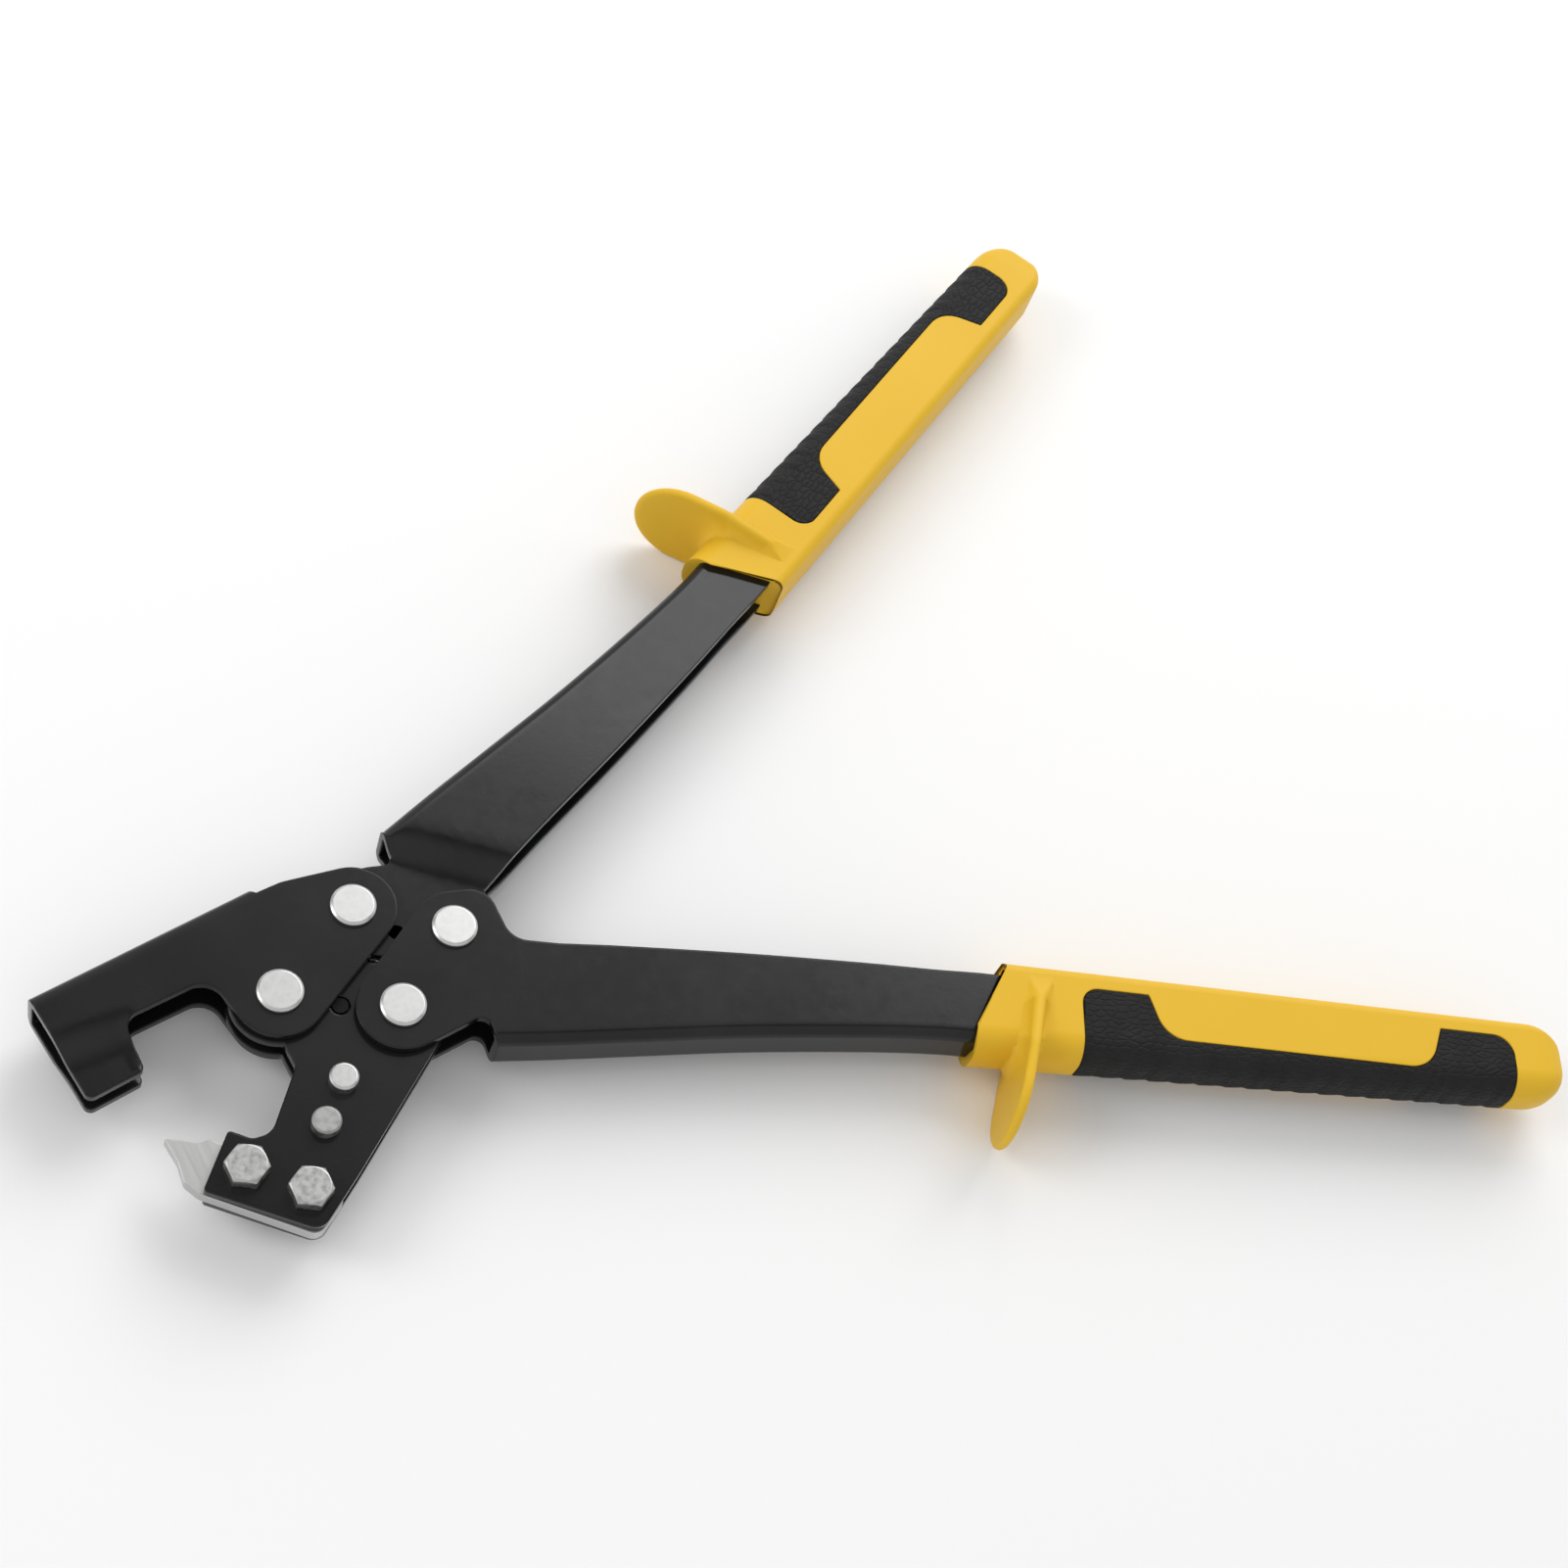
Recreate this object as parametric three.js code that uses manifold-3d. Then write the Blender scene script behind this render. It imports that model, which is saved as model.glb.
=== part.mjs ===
// Two-handed stud crimper with a compound lever, in millimetres.
//
// Layout frame used by every outline below:
//   origin on the pivot that joins the two handles, X from the jaw pivot towards the grips,
//   Y towards the upper handle, Z out of the plane of the sheet-steel plates.
// The finished group is shifted at the end so that its bounding box is centred over the origin
// in X and Y and stands on Z = 0.
//
// Sheet-steel layers, counted from the mid-plane outwards:
//   core   the punch blade, bushes, sleeves and spring
//   inner  the punch plates and the tongue of the upper handle
//   outer  the fixed jaw and the head of the lower handle

import * as THREE from 'three';
import Module from 'manifold-3d';
import { mergeVertices } from 'three/addons/utils/BufferGeometryUtils.js';

const wasm = await Module();
wasm.setup();

// ---------------------------------------------------------------- driving dimensions

const SHEET = 2.3; // plate thickness
const GAP = 0.3; // air between neighbouring layers
const CORE = 2.0; // half thickness of the blade layer
const INNER = CORE + GAP; // inner face of the inner layer
const INNER_OUT = INNER + SHEET;
const OUTER = INNER_OUT + GAP; // inner face of the outer layer
const OUTER_OUT = OUTER + SHEET; // half width of the folded channels
const FOLD = 3.0; // outer radius of the folded corners
const FOLD_IN = 0.9; // inner radius of the folded corners

const PIVOT = {
  handles: [0, 0],
  fixedPunch: [-49.2, 0],
  fixedUpper: [-22, 15.4],
  lowerPunch: [-22, -15.4],
};
const SHANK = 3.0; // rivet shank radius
const RUNNING = 0.1; // radial clearance of a running hole
const OPEN_PIVOT_PLAY = 0.45; // radial clearance where the linkage is held by ratio, not by its pin
const HEAD = 6.05; // rivet head radius
const HEAD_HEIGHT = 1.5;

const HANDLE_ANGLE = THREE.MathUtils.degToRad(28.2); // grip axis above the X axis, handles open
const LOWER_EXTRA = THREE.MathUtils.degToRad(1.0); // the lower arm is bent this much further out

const GRIP_START = 143; // along the grip axis, from the handle pivot
const GRIP_END = 321.5;
const GRIP_HALF = 9; // half thickness across Z
const PAD_DEPTH = 1.5;

const FINISH = {
  blackPaint: [0x2b2b2d, 0.55, 0.32],
  zinc: [0xd3d5d4, 0.95, 0.3],
  darkZinc: [0xa9abaa, 0.9, 0.45],
  blade: [0xbfbfbd, 0.95, 0.38],
  bush: [0x8d8f8f, 0.9, 0.4],
  yellow: [0xf0c63c, 0.0, 0.42],
  rubber: [0x333335, 0.0, 0.75],
};

// ---------------------------------------------------------------- geometry helpers

const WELD = 0.004; // details smaller than this are merged away

function toSolid(geometry) {
  const bare = geometry.clone();
  bare.deleteAttribute('normal');
  bare.deleteAttribute('uv');
  const welded = mergeVertices(bare, 1e-5);
  const mesh = new wasm.Mesh({
    numProp: 3,
    vertProperties: new Float32Array(welded.attributes.position.array),
    triVerts: new Uint32Array(welded.index.array),
  });
  return new wasm.Manifold(mesh);
}

function toGeometry(solid) {
  const mesh = solid.simplify(WELD).getMesh();
  const geometry = new THREE.BufferGeometry();
  geometry.setAttribute('position', new THREE.BufferAttribute(new Float32Array(mesh.vertProperties), 3));
  geometry.setIndex(new THREE.BufferAttribute(new Uint32Array(mesh.triVerts), 1));
  const flat = geometry.toNonIndexed();
  flat.computeVertexNormals();
  return flat;
}

function union(solids) {
  return solids.reduce((sum, solid) => sum.add(solid));
}

// Points round a closed outline with corners [x, y, radius]; each corner becomes an arc tangent to
// its two sides, cut into `segments` chords.
function rounded(corners, segments) {
  const count = corners.length;
  const points = [];
  for (let i = 0; i < count; i += 1) {
    const [x, y, radius] = corners[i];
    const corner = new THREE.Vector2(x, y);
    if (radius === 0) {
      points.push(corner);
      continue;
    }
    const [beforeX, beforeY] = corners[(i + count - 1) % count];
    const [afterX, afterY] = corners[(i + 1) % count];
    const before = new THREE.Vector2(beforeX, beforeY).sub(corner).normalize();
    const after = new THREE.Vector2(afterX, afterY).sub(corner).normalize();
    const half = Math.acos(before.dot(after)) / 2;
    const start = corner.clone().addScaledVector(before, radius / Math.tan(half));
    const bisector = before.clone().add(after).normalize();
    const centre = corner.clone().addScaledVector(bisector, radius / Math.sin(half));
    const turn = Math.sign(after.cross(before)) * (Math.PI - 2 * half);
    for (let k = 0; k <= segments; k += 1) {
      points.push(start.clone().rotateAround(centre, (turn * k) / segments));
    }
  }
  return THREE.ShapeUtils.area(points) < 0 ? points.reverse() : points;
}

function outline(corners, segments = 5) {
  return new THREE.Shape(rounded(corners, segments));
}

function disc([x, y], radius) {
  const shape = new THREE.Shape();
  shape.absarc(x, y, radius, 0, 2 * Math.PI, false);
  return shape;
}

// Plate outline that wraps two pivots: the convex hull of two circles.
function link([ax, ay], aRadius, [bx, by], bRadius) {
  const length = Math.hypot(bx - ax, by - ay);
  const heading = Math.atan2(by - ay, bx - ax);
  const spread = Math.acos((aRadius - bRadius) / length);
  const shape = new THREE.Shape();
  shape.absarc(bx, by, bRadius, heading - spread, heading + spread, false);
  shape.absarc(ax, ay, aRadius, heading + spread, heading - spread + 2 * Math.PI, false);
  shape.closePath();
  return shape;
}

function prism(shape, low, high, curveSegments = 8) {
  const geometry = new THREE.ExtrudeGeometry(shape, {
    depth: high - low,
    bevelEnabled: false,
    curveSegments,
  });
  geometry.translate(0, 0, low);
  return toSolid(geometry);
}

function box([x0, y0, z0], [x1, y1, z1]) {
  const geometry = new THREE.BoxGeometry(x1 - x0, y1 - y0, z1 - z0);
  geometry.translate((x0 + x1) / 2, (y0 + y1) / 2, (z0 + z1) / 2);
  return toSolid(geometry);
}

function pin([x, y], radius, low, high, segments = 12) {
  return prism(disc([x, y], radius), low, high, segments);
}

// The same shape above and below the mid-plane.
function bothSides(shape, near, far, curveSegments) {
  return prism(shape, near, far, curveSegments).add(prism(shape, -far, -near, curveSegments));
}

// Solid of revolution about Z from a profile of [radius, z] points.
function turned([x, y], profile, segments = 28) {
  const points = profile.map(([radius, z]) => new THREE.Vector2(radius, z));
  const geometry = new THREE.LatheGeometry(points, segments);
  geometry.rotateX(Math.PI / 2);
  geometry.translate(x, y, 0);
  const solid = toSolid(geometry);
  return solid.volume() > 0 ? solid : toSolid(flipped(geometry));
}

function flipped(geometry) {
  const copy = geometry.clone();
  const index = copy.index.array;
  for (let i = 0; i < index.length; i += 3) {
    [index[i], index[i + 1]] = [index[i + 1], index[i]];
  }
  return copy;
}

// Skin through stations, each { section: [Vector2], place: (Vector2) => Vector3 } with equal counts.
function loft(stations) {
  const size = stations[0].section.length;
  const positions = [];
  for (const { section, place } of stations) {
    for (const point of section) {
      positions.push(...place(point).toArray());
    }
  }
  const index = [];
  for (let s = 0; s < stations.length - 1; s += 1) {
    for (let i = 0; i < size; i += 1) {
      const a = s * size + i;
      const b = s * size + ((i + 1) % size);
      index.push(a, b, b + size, a, b + size, a + size);
    }
  }
  const last = (stations.length - 1) * size;
  for (const [a, b, c] of THREE.ShapeUtils.triangulateShape(stations[0].section, [])) {
    index.push(a, c, b);
  }
  for (const [a, b, c] of THREE.ShapeUtils.triangulateShape(stations.at(-1).section, [])) {
    index.push(last + a, last + b, last + c);
  }
  const geometry = new THREE.BufferGeometry();
  geometry.setAttribute('position', new THREE.Float32BufferAttribute(positions, 3));
  geometry.setIndex(index);
  const solid = toSolid(geometry);
  return solid.volume() > 0 ? solid : toSolid(flipped(geometry));
}

// Sheet that steps from the `near` layer to the `far` layer across a band `run` wide.
// The band starts on the line a-b and runs to the left of it, on both sides of the mid-plane.
function joggle([ax, ay], [bx, by], run, near, far) {
  const length = Math.hypot(bx - ax, by - ay);
  const along = new THREE.Vector3((bx - ax) / length, (by - ay) / length, 0);
  const left = new THREE.Vector3(-along.y, along.x, 0);
  const tail = 0.2; // flat lead-in that laps over the neighbouring sheet
  const section = [
    new THREE.Vector2(-tail, near),
    new THREE.Vector2(0, near),
    new THREE.Vector2(run, far),
    new THREE.Vector2(run + tail, far),
    new THREE.Vector2(run + tail, far + SHEET),
    new THREE.Vector2(run, far + SHEET),
    new THREE.Vector2(0, near + SHEET),
    new THREE.Vector2(-tail, near + SHEET),
  ];
  const station = (t, side) => ({
    section,
    place: (p) =>
      new THREE.Vector3(ax, ay, 0)
        .addScaledVector(along, t)
        .addScaledVector(left, p.x)
        .setZ(side * p.y),
  });
  return union([-1, 1].map((side) => loft([station(0, side), station(length, side)])));
}

// ---------------------------------------------------------------- fixed jaw

const WEB_FRONT = [-106.5, 22.4];
const WEB_REAR = [-45.2, 30.3];

const jawOutline = outline([
  [WEB_FRONT[0], WEB_FRONT[1], 0.6],
  [-103.4, -7.9, 2.2],
  [-88.6, -6.2, 1.6],
  [-87.4, 8.0, 4.2],
  [-63.6, 11.0, 5.5],
  [-62.6, -13.3, 10.5],
  [-45.5, -12.6, 10],
  [-3.4, 11.7, 9.5],
  [-12.2, 27.0, 9],
  [-38.0, 29.6, 12],
  [-44.6, 28.3, 0.5],
  [WEB_REAR[0], WEB_REAR[1], 0.4],
]);

// Folded channel with its web along the line WEB_FRONT - WEB_REAR.
function jawChannel(half, radius, inset) {
  const along = new THREE.Vector3(WEB_REAR[0] - WEB_FRONT[0], WEB_REAR[1] - WEB_FRONT[1], 0).normalize();
  const down = new THREE.Vector3(along.y, -along.x, 0);
  const section = rounded([
    [inset, -half, radius],
    [inset, half, radius],
    [70, half, 0],
    [70, -half, 0],
  ], 5);
  const station = (t) => ({
    section,
    place: (p) =>
      new THREE.Vector3(WEB_FRONT[0], WEB_FRONT[1], 0)
        .addScaledVector(along, t)
        .addScaledVector(down, p.x)
        .setZ(p.y),
  });
  return loft([station(-10), station(70)]);
}

const LIP = OUTER - 2.2; // inner face of the inset lips
const LIP_TOP = 0.4; // the lips are flat below this height
const LIP_RUN = 10.2; // height of the slanted band above them

function makeFixedJaw() {
  const [rearX] = WEB_REAR;
  const full = prism(jawOutline, -OUTER_OUT, OUTER_OUT);
  const channel = full
    .intersect(jawChannel(OUTER_OUT, FOLD, 0))
    .subtract(jawChannel(OUTER, FOLD_IN, SHEET))
    .intersect(box([-130, -40, -20], [rearX, 60, 20]));
  const plates = bothSides(jawOutline, OUTER, OUTER_OUT).intersect(box([rearX, -40, -20], [30, 60, 20]));
  const hook = box([-130, -20, -20], [-87.0, LIP_TOP + LIP_RUN, 20]);
  const lips = bothSides(jawOutline, LIP, LIP + SHEET).intersect(box([-130, -20, -20], [-87.0, LIP_TOP, 20]));
  const slant = joggle([-130, LIP_TOP], [-80, LIP_TOP], LIP_RUN, LIP, OUTER)
    .intersect(box([-130, -20, -20], [-87.0, 30, 20]))
    .intersect(full);
  let shell = union([channel.subtract(hook), plates, lips, slant]);
  for (const centre of [PIVOT.fixedUpper, PIVOT.fixedPunch]) {
    shell = shell.subtract(pin(centre, SHANK + RUNNING, -20, 20));
  }
  return shell;
}

// ---------------------------------------------------------------- rivets and bushes

function rivet(centre) {
  const face = OUTER_OUT + RUNNING;
  const top = face + HEAD_HEIGHT;
  return turned(centre, [
    [0, -top],
    [HEAD - 0.7, -top],
    [HEAD, -top + 0.5],
    [HEAD, -face],
    [SHANK, -face],
    [SHANK, face],
    [HEAD, face],
    [HEAD, top - 0.5],
    [HEAD - 0.7, top],
    [0, top],
  ]);
}

function ring(centre, bore, radius, low, high) {
  return pin(centre, radius, low, high).subtract(pin(centre, bore, low - 1, high + 1));
}

function bush(centre) {
  return ring(centre, SHANK + RUNNING, 5.6, -CORE, CORE);
}

// ---------------------------------------------------------------- punch jaw

const BOLTS = { tip: [-75.2, -39.7], heel: [-63.3, -51.1] };
const BOLT_RADIUS = 3;
const ACROSS_FLATS = 10;
const SPACER_PINS = { inner: [-43.9, -27.5], outer: [-52.7, -36.6] };
const SPACER_HEAD = 3.8;
const SPACER_SHANK = 2.5;
const SPRING_POST = { punch: [-35.9, -8.2], upper: [-13.8, 5.4] };
const POST_RADIUS = 2.1;
const POST_HOLE = 2.6;

const punchBody = outline([
  [-38.0, 0, 3],
  [-53.6, -12.0, 2],
  [-52.8, -20.0, 4],
  [-65.6, -33.6, 6],
  [-70.4, -32.9, 3],
  [-75.2, -28.3, 1.2],
  [-87.2, -40.4, 1],
  [-64.6, -62.0, 4],
  [-17.2, -27.5, 0],
  [-22, -15.4, 0],
]);

function punchPlate(low, high) {
  const hull = prism(link(PIVOT.fixedPunch, 13.0, PIVOT.lowerPunch, 12.4), low, high);
  let plate = hull.add(prism(punchBody, low, high));
  plate = plate.subtract(pin(PIVOT.fixedPunch, SHANK + RUNNING, low - 1, high + 1));
  plate = plate.subtract(pin(PIVOT.lowerPunch, SHANK + OPEN_PIVOT_PLAY, low - 1, high + 1));
  plate = plate.subtract(pin(SPRING_POST.punch, POST_HOLE, low - 1, high + 1));
  for (const centre of Object.values(BOLTS)) {
    plate = plate.subtract(pin(centre, BOLT_RADIUS + GAP, low - 1, high + 1));
  }
  for (const centre of Object.values(SPACER_PINS)) {
    plate = plate.subtract(pin(centre, SPACER_SHANK + GAP, low - 1, high + 1));
  }
  return plate;
}

function makeBlade() {
  const shape = outline([
    [-89.7, -23.6, 0.3],
    [-89.1, -30.5, 3],
    [-89.7, -36.0, 2],
    [-87.7, -40.2, 1],
    [-65.4, -61.9, 3.2],
    [-55.9, -55.8, 1],
    [-76.6, -31.9, 2],
    [-79.2, -27.9, 1.5],
    [-85.0, -26.0, 4],
  ]);
  let blade = prism(shape, -CORE, CORE);
  for (const centre of Object.values(BOLTS)) {
    blade = blade.subtract(pin(centre, BOLT_RADIUS + GAP, -CORE - 1, CORE + 1));
  }
  return blade;
}

// Hexagon with chamfered corners; its corners point along Y.
function hexBlock([x, y], low, high, chamferLow, chamferHigh) {
  const corner = ACROSS_FLATS / 2 / Math.cos(Math.PI / 6);
  const hexagon = new THREE.CylinderGeometry(corner, corner, high - low, 6);
  hexagon.rotateX(Math.PI / 2);
  hexagon.translate(x, y, (low + high) / 2);
  const drop = 0.6;
  const rim = ACROSS_FLATS / 2 - 0.15;
  const wide = rim + 2.2;
  const cone = turned([x, y], [
    [0, low],
    [chamferLow ? rim : wide, low],
    [wide, low + (chamferLow ? 2.2 * drop : 0)],
    [wide, high - (chamferHigh ? 2.2 * drop : 0)],
    [chamferHigh ? rim : wide, high],
    [0, high],
  ], 32);
  return toSolid(hexagon).intersect(cone);
}

function makeBolt(centre) {
  const face = INNER_OUT + RUNNING;
  const head = hexBlock(centre, face, face + 4, false, true);
  const shank = pin(centre, BOLT_RADIUS, -face - 6.6, face + 0.5);
  return head.add(shank);
}

function makeNut(centre) {
  const face = INNER_OUT + RUNNING;
  return hexBlock(centre, -face - 5, -face, true, false).subtract(
    pin(centre, BOLT_RADIUS + RUNNING, -face - 6, 0),
  );
}

function makeSpacerPin(centre) {
  const face = INNER_OUT + RUNNING;
  const top = face + 3.4;
  return turned(centre, [
    [0, -top],
    [SPACER_HEAD - 0.5, -top],
    [SPACER_HEAD, -top + 0.4],
    [SPACER_HEAD, -face],
    [SPACER_SHANK, -face],
    [SPACER_SHANK, face],
    [SPACER_HEAD, face],
    [SPACER_HEAD, top - 0.4],
    [SPACER_HEAD - 0.5, top],
    [0, top],
  ], 24);
}

// ---------------------------------------------------------------- return spring

const WIRE = 0.35; // wire radius
const COIL = 1.5; // coil radius to the wire centre
const TURNS = 7;

function makeSpring() {
  const from = new THREE.Vector3(...SPRING_POST.punch, 0);
  const to = new THREE.Vector3(...SPRING_POST.upper, 0);
  const along = to.clone().sub(from).normalize();
  const side = new THREE.Vector3(-along.y, along.x, 0);
  const up = new THREE.Vector3(0, 0, 1);
  const bodyStart = POST_RADIUS + 3.4;
  const bodyLength = from.distanceTo(to) - 2 * bodyStart;
  const steps = TURNS * 10;
  const path = [];
  for (let i = 0; i <= steps; i += 1) {
    const turn = (2 * Math.PI * TURNS * i) / steps;
    path.push(
      from
        .clone()
        .addScaledVector(along, bodyStart + (bodyLength * i) / steps)
        .addScaledVector(side, COIL * Math.cos(turn))
        .addScaledVector(up, COIL * Math.sin(turn)),
    );
  }
  const hook = POST_RADIUS + GAP + WIRE;
  const hookPath = (centre, direction) => {
    const points = [];
    for (let i = 0; i <= 10; i += 1) {
      const angle = (Math.PI * 1.35 * i) / 10;
      points.push(
        centre
          .clone()
          .addScaledVector(side, hook * Math.cos(angle))
          .addScaledVector(along, direction * hook * Math.sin(angle)),
      );
    }
    return points;
  };
  return sweep([...hookPath(from, -1).reverse(), ...path, ...hookPath(to, 1)], WIRE, 6);
}

// Round wire along a path of points.
function sweep(path, radius, sides) {
  const stations = path.map((point, i) => {
    const before = path[Math.max(i - 1, 0)];
    const after = path[Math.min(i + 1, path.length - 1)];
    const tangent = after.clone().sub(before).normalize();
    return { point, tangent };
  });
  let normal = new THREE.Vector3(0, 0, 1);
  const section = [];
  for (let i = 0; i < sides; i += 1) {
    const angle = (2 * Math.PI * i) / sides;
    section.push(new THREE.Vector2(radius * Math.cos(angle), radius * Math.sin(angle)));
  }
  return loft(
    stations.map(({ point, tangent }) => {
      normal = normal.clone().addScaledVector(tangent, -normal.dot(tangent)).normalize();
      const binormal = new THREE.Vector3().crossVectors(tangent, normal);
      const across = normal.clone();
      return {
        section,
        place: (p) => point.clone().addScaledVector(across, p.x).addScaledVector(binormal, p.y),
      };
    }),
  );
}

// ---------------------------------------------------------------- handles

// Grip coordinates: s along the grip axis from the handle pivot, n outwards from that axis.
const gripAxis = new THREE.Vector3(Math.cos(HANDLE_ANGLE), Math.sin(HANDLE_ANGLE), 0);
const gripOut = new THREE.Vector3(-Math.sin(HANDLE_ANGLE), Math.cos(HANDLE_ANGLE), 0);

// The folded web of an arm and its open edge, as matching points from the head to the grip.
const ARM = [
  { web: [-5.0, 33.6], open: [6.0, 5.2] },
  { web: [12.0, 39.9], open: [21.0, 12.2] },
  { web: [30.0, 46.2], open: [40.0, 21.2] },
  { web: [60.0, 56.8], open: [69.0, 34.6] },
  { web: [90.0, 68.6], open: [99.0, 49.2] },
  { web: [110.0, 77.2], open: [118.0, 58.9] },
];
// The tang inside the grip, in grip coordinates.
const TANG = [
  { s: 150, web: 15.6, open: -4.4 },
  { s: 178, web: 14.2, open: -3.4 },
  { s: 214, web: 12.2, open: -2.6 },
];

function inGrip(s, n) {
  const point = new THREE.Vector3().addScaledVector(gripAxis, s).addScaledVector(gripOut, n);
  return [point.x, point.y];
}

const arm = [
  ...ARM,
  ...TANG.map(({ s, web, open }) => ({ web: inGrip(s, web), open: inGrip(s, open) })),
];

// Channel that follows the arm from station `first` on, grown by `slack` all round.
function armChannel(slack, first = 0) {
  return loft(arm.slice(first).map(({ web, open }) => {
    const start = new THREE.Vector3(...web, 0);
    const inward = new THREE.Vector3(...open, 0).sub(start);
    const depth = inward.length();
    inward.normalize();
    const half = OUTER_OUT + slack;
    const bore = OUTER - slack;
    const section = rounded([
      [-slack, -half, FOLD],
      [-slack, half, FOLD],
      [depth + slack, half, 0],
      [depth + slack, bore, 0],
      [SHEET + slack, bore, FOLD_IN],
      [SHEET + slack, -bore, FOLD_IN],
      [depth + slack, -bore, 0],
      [depth + slack, -half, 0],
    ], 4);
    return { section, place: (p) => start.clone().addScaledVector(inward, p.x).setZ(p.y) };
  }));
}

function drilled(solid, centres, radius) {
  return centres.reduce((rest, centre) => rest.subtract(pin(centre, radius, -20, 20)), solid);
}

// Upper arm: the channel walls step in along a slanting line and run on as the tongue.
const STEP_LOW = [13.2, 8.4];
const STEP_HIGH = [-6.5, 24.0];
const STEP_RUN = 11.4;

function makeUpperArm() {
  const cut = outline([
    [2.4, 31.5, 0],
    [27.7, 11.5, 0],
    [20.0, -8.0, 0],
    [-25.0, -8.0, 0],
    [-25.0, 21.7, 0],
  ]);
  const walls = armChannel(0).subtract(prism(cut, -20, 20));
  const slantZone = outline([
    [13.0, 7.9, 0],
    [34.0, 17.8, 0],
    [20.0, 39.6, 0],
    [-4.8, 30.4, 0],
    [-6.9, 24.2, 0],
  ]);
  const slant = joggle(STEP_HIGH, STEP_LOW, STEP_RUN, INNER, OUTER).intersect(prism(slantZone, -20, 20));
  const tongueEnd = outline([
    [0, 0, 0],
    [11.2, 0, 3],
    [13.4, 8.4, 0.5],
    [-6.2, 24.2, 0.8],
    [-14.0, 25.8, 8],
    [-22.0, 26.6, 0],
    [-22.0, 15.4, 0],
  ]);
  const tongue = bothSides(link(PIVOT.handles, 11.0, PIVOT.fixedUpper, 11.2), INNER, INNER_OUT)
    .add(bothSides(tongueEnd, INNER, INNER_OUT));
  const sheet = drilled(union([walls, slant, tongue]), [PIVOT.handles, PIVOT.fixedUpper], SHANK + RUNNING);
  return drilled(sheet, [SPRING_POST.upper], POST_HOLE);
}

// Half a turn about X and the extra bend of the lower arm: brings a shape drawn for the upper
// handle to the lower one.
function turnedOver(solid) {
  return solid.rotate([180, 0, 0]).rotate([0, 0, -THREE.MathUtils.radToDeg(LOWER_EXTRA)]);
}

// Lower arm: the channel walls run on flat as the head plates.
function makeLowerArm() {
  const neck = bothSides(outline([
    [-22.0, 15.4, 0],
    [0, 0, 0],
    [6.0, -9.2, 0],
    [13.0, -6.0, 7],
    [13.6, 9.8, 8],
    [40.0, 21.4, 0],
    [24.0, 42.0, 0],
    [-2.4, 31.6, 1],
    [-4.4, 25.8, 3],
    [-21.0, 27.2, 0],
  ]), OUTER, OUTER_OUT);
  const head = bothSides(link(PIVOT.lowerPunch, 12.0, PIVOT.handles, 10.8), OUTER, OUTER_OUT);
  const sheet = turnedOver(armChannel(0).add(neck)).add(head);
  return drilled(sheet, [PIVOT.handles, PIVOT.lowerPunch], SHANK + RUNNING);
}

// ---------------------------------------------------------------- grips, in grip coordinates

const GRIP_LOW = -8.4; // inner wall
const GRIP_HIGH = 19.6; // outer side at the front; it tapers towards the end
const TAPER = 0.031;
const END_ROUND = 11; // length of the rounded end
const LOW_ROUND = 10; // how far the end draws in on the inner side, the outer side and across
const HIGH_ROUND = 7;
const SIDE_ROUND = 4.5;
const COLLAR_SLANT = 9.5;

function gripSection(s, inset) {
  const t = Math.max(0, (s - (GRIP_END - END_ROUND)) / END_ROUND);
  const fade = 1 - Math.sqrt(1 - t * t);
  const low = GRIP_LOW + inset + LOW_ROUND * fade;
  const high = GRIP_HIGH - TAPER * (s - GRIP_START) - inset - HIGH_ROUND * fade;
  const half = GRIP_HALF - inset - SIDE_ROUND * fade;
  const outer = Math.max(7.6 - inset - SIDE_ROUND * fade, 0.8);
  const inner = Math.max(3.2 - inset - SIDE_ROUND * fade, 0.8);
  return rounded([
    [low, -half, inner],
    [high, -half, outer],
    [high, half, outer],
    [low, half, inner],
  ], 5);
}

function gripBody(inset) {
  const marks = [GRIP_START - 2 * inset, 230, 290];
  for (const t of [0, 0.3, 0.55, 0.75, 0.9, 0.985]) {
    marks.push(GRIP_END - END_ROUND + END_ROUND * t - inset);
  }
  return loft(marks.map((s) => ({
    section: gripSection(Math.min(s + inset, GRIP_END), inset),
    place: (p) => new THREE.Vector3(s, p.x, p.y),
  })));
}

// Inlay outline seen from the side: two wings joined by a narrow strip along the outer side.
function padOutline(grow) {
  return outline([
    [174 - grow, 40, 0],
    [174 - grow, -2.5 - grow, 6],
    [193.4 + grow, -2.5 - grow, 0.4],
    [197.8 + grow, 10.3 - grow, 9],
    [278.0 - grow, 10.3 - grow, 9],
    [282.4 - grow, -2.5 - grow, 0.4],
    [304.5 + grow, -2.5 - grow, 6],
    [304.5 + grow, 40, 0],
  ]);
}

const GUARD_S = 158;
const GUARD_THICK = 3;
const GUARD_LEAN = THREE.MathUtils.degToRad(12);

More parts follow.
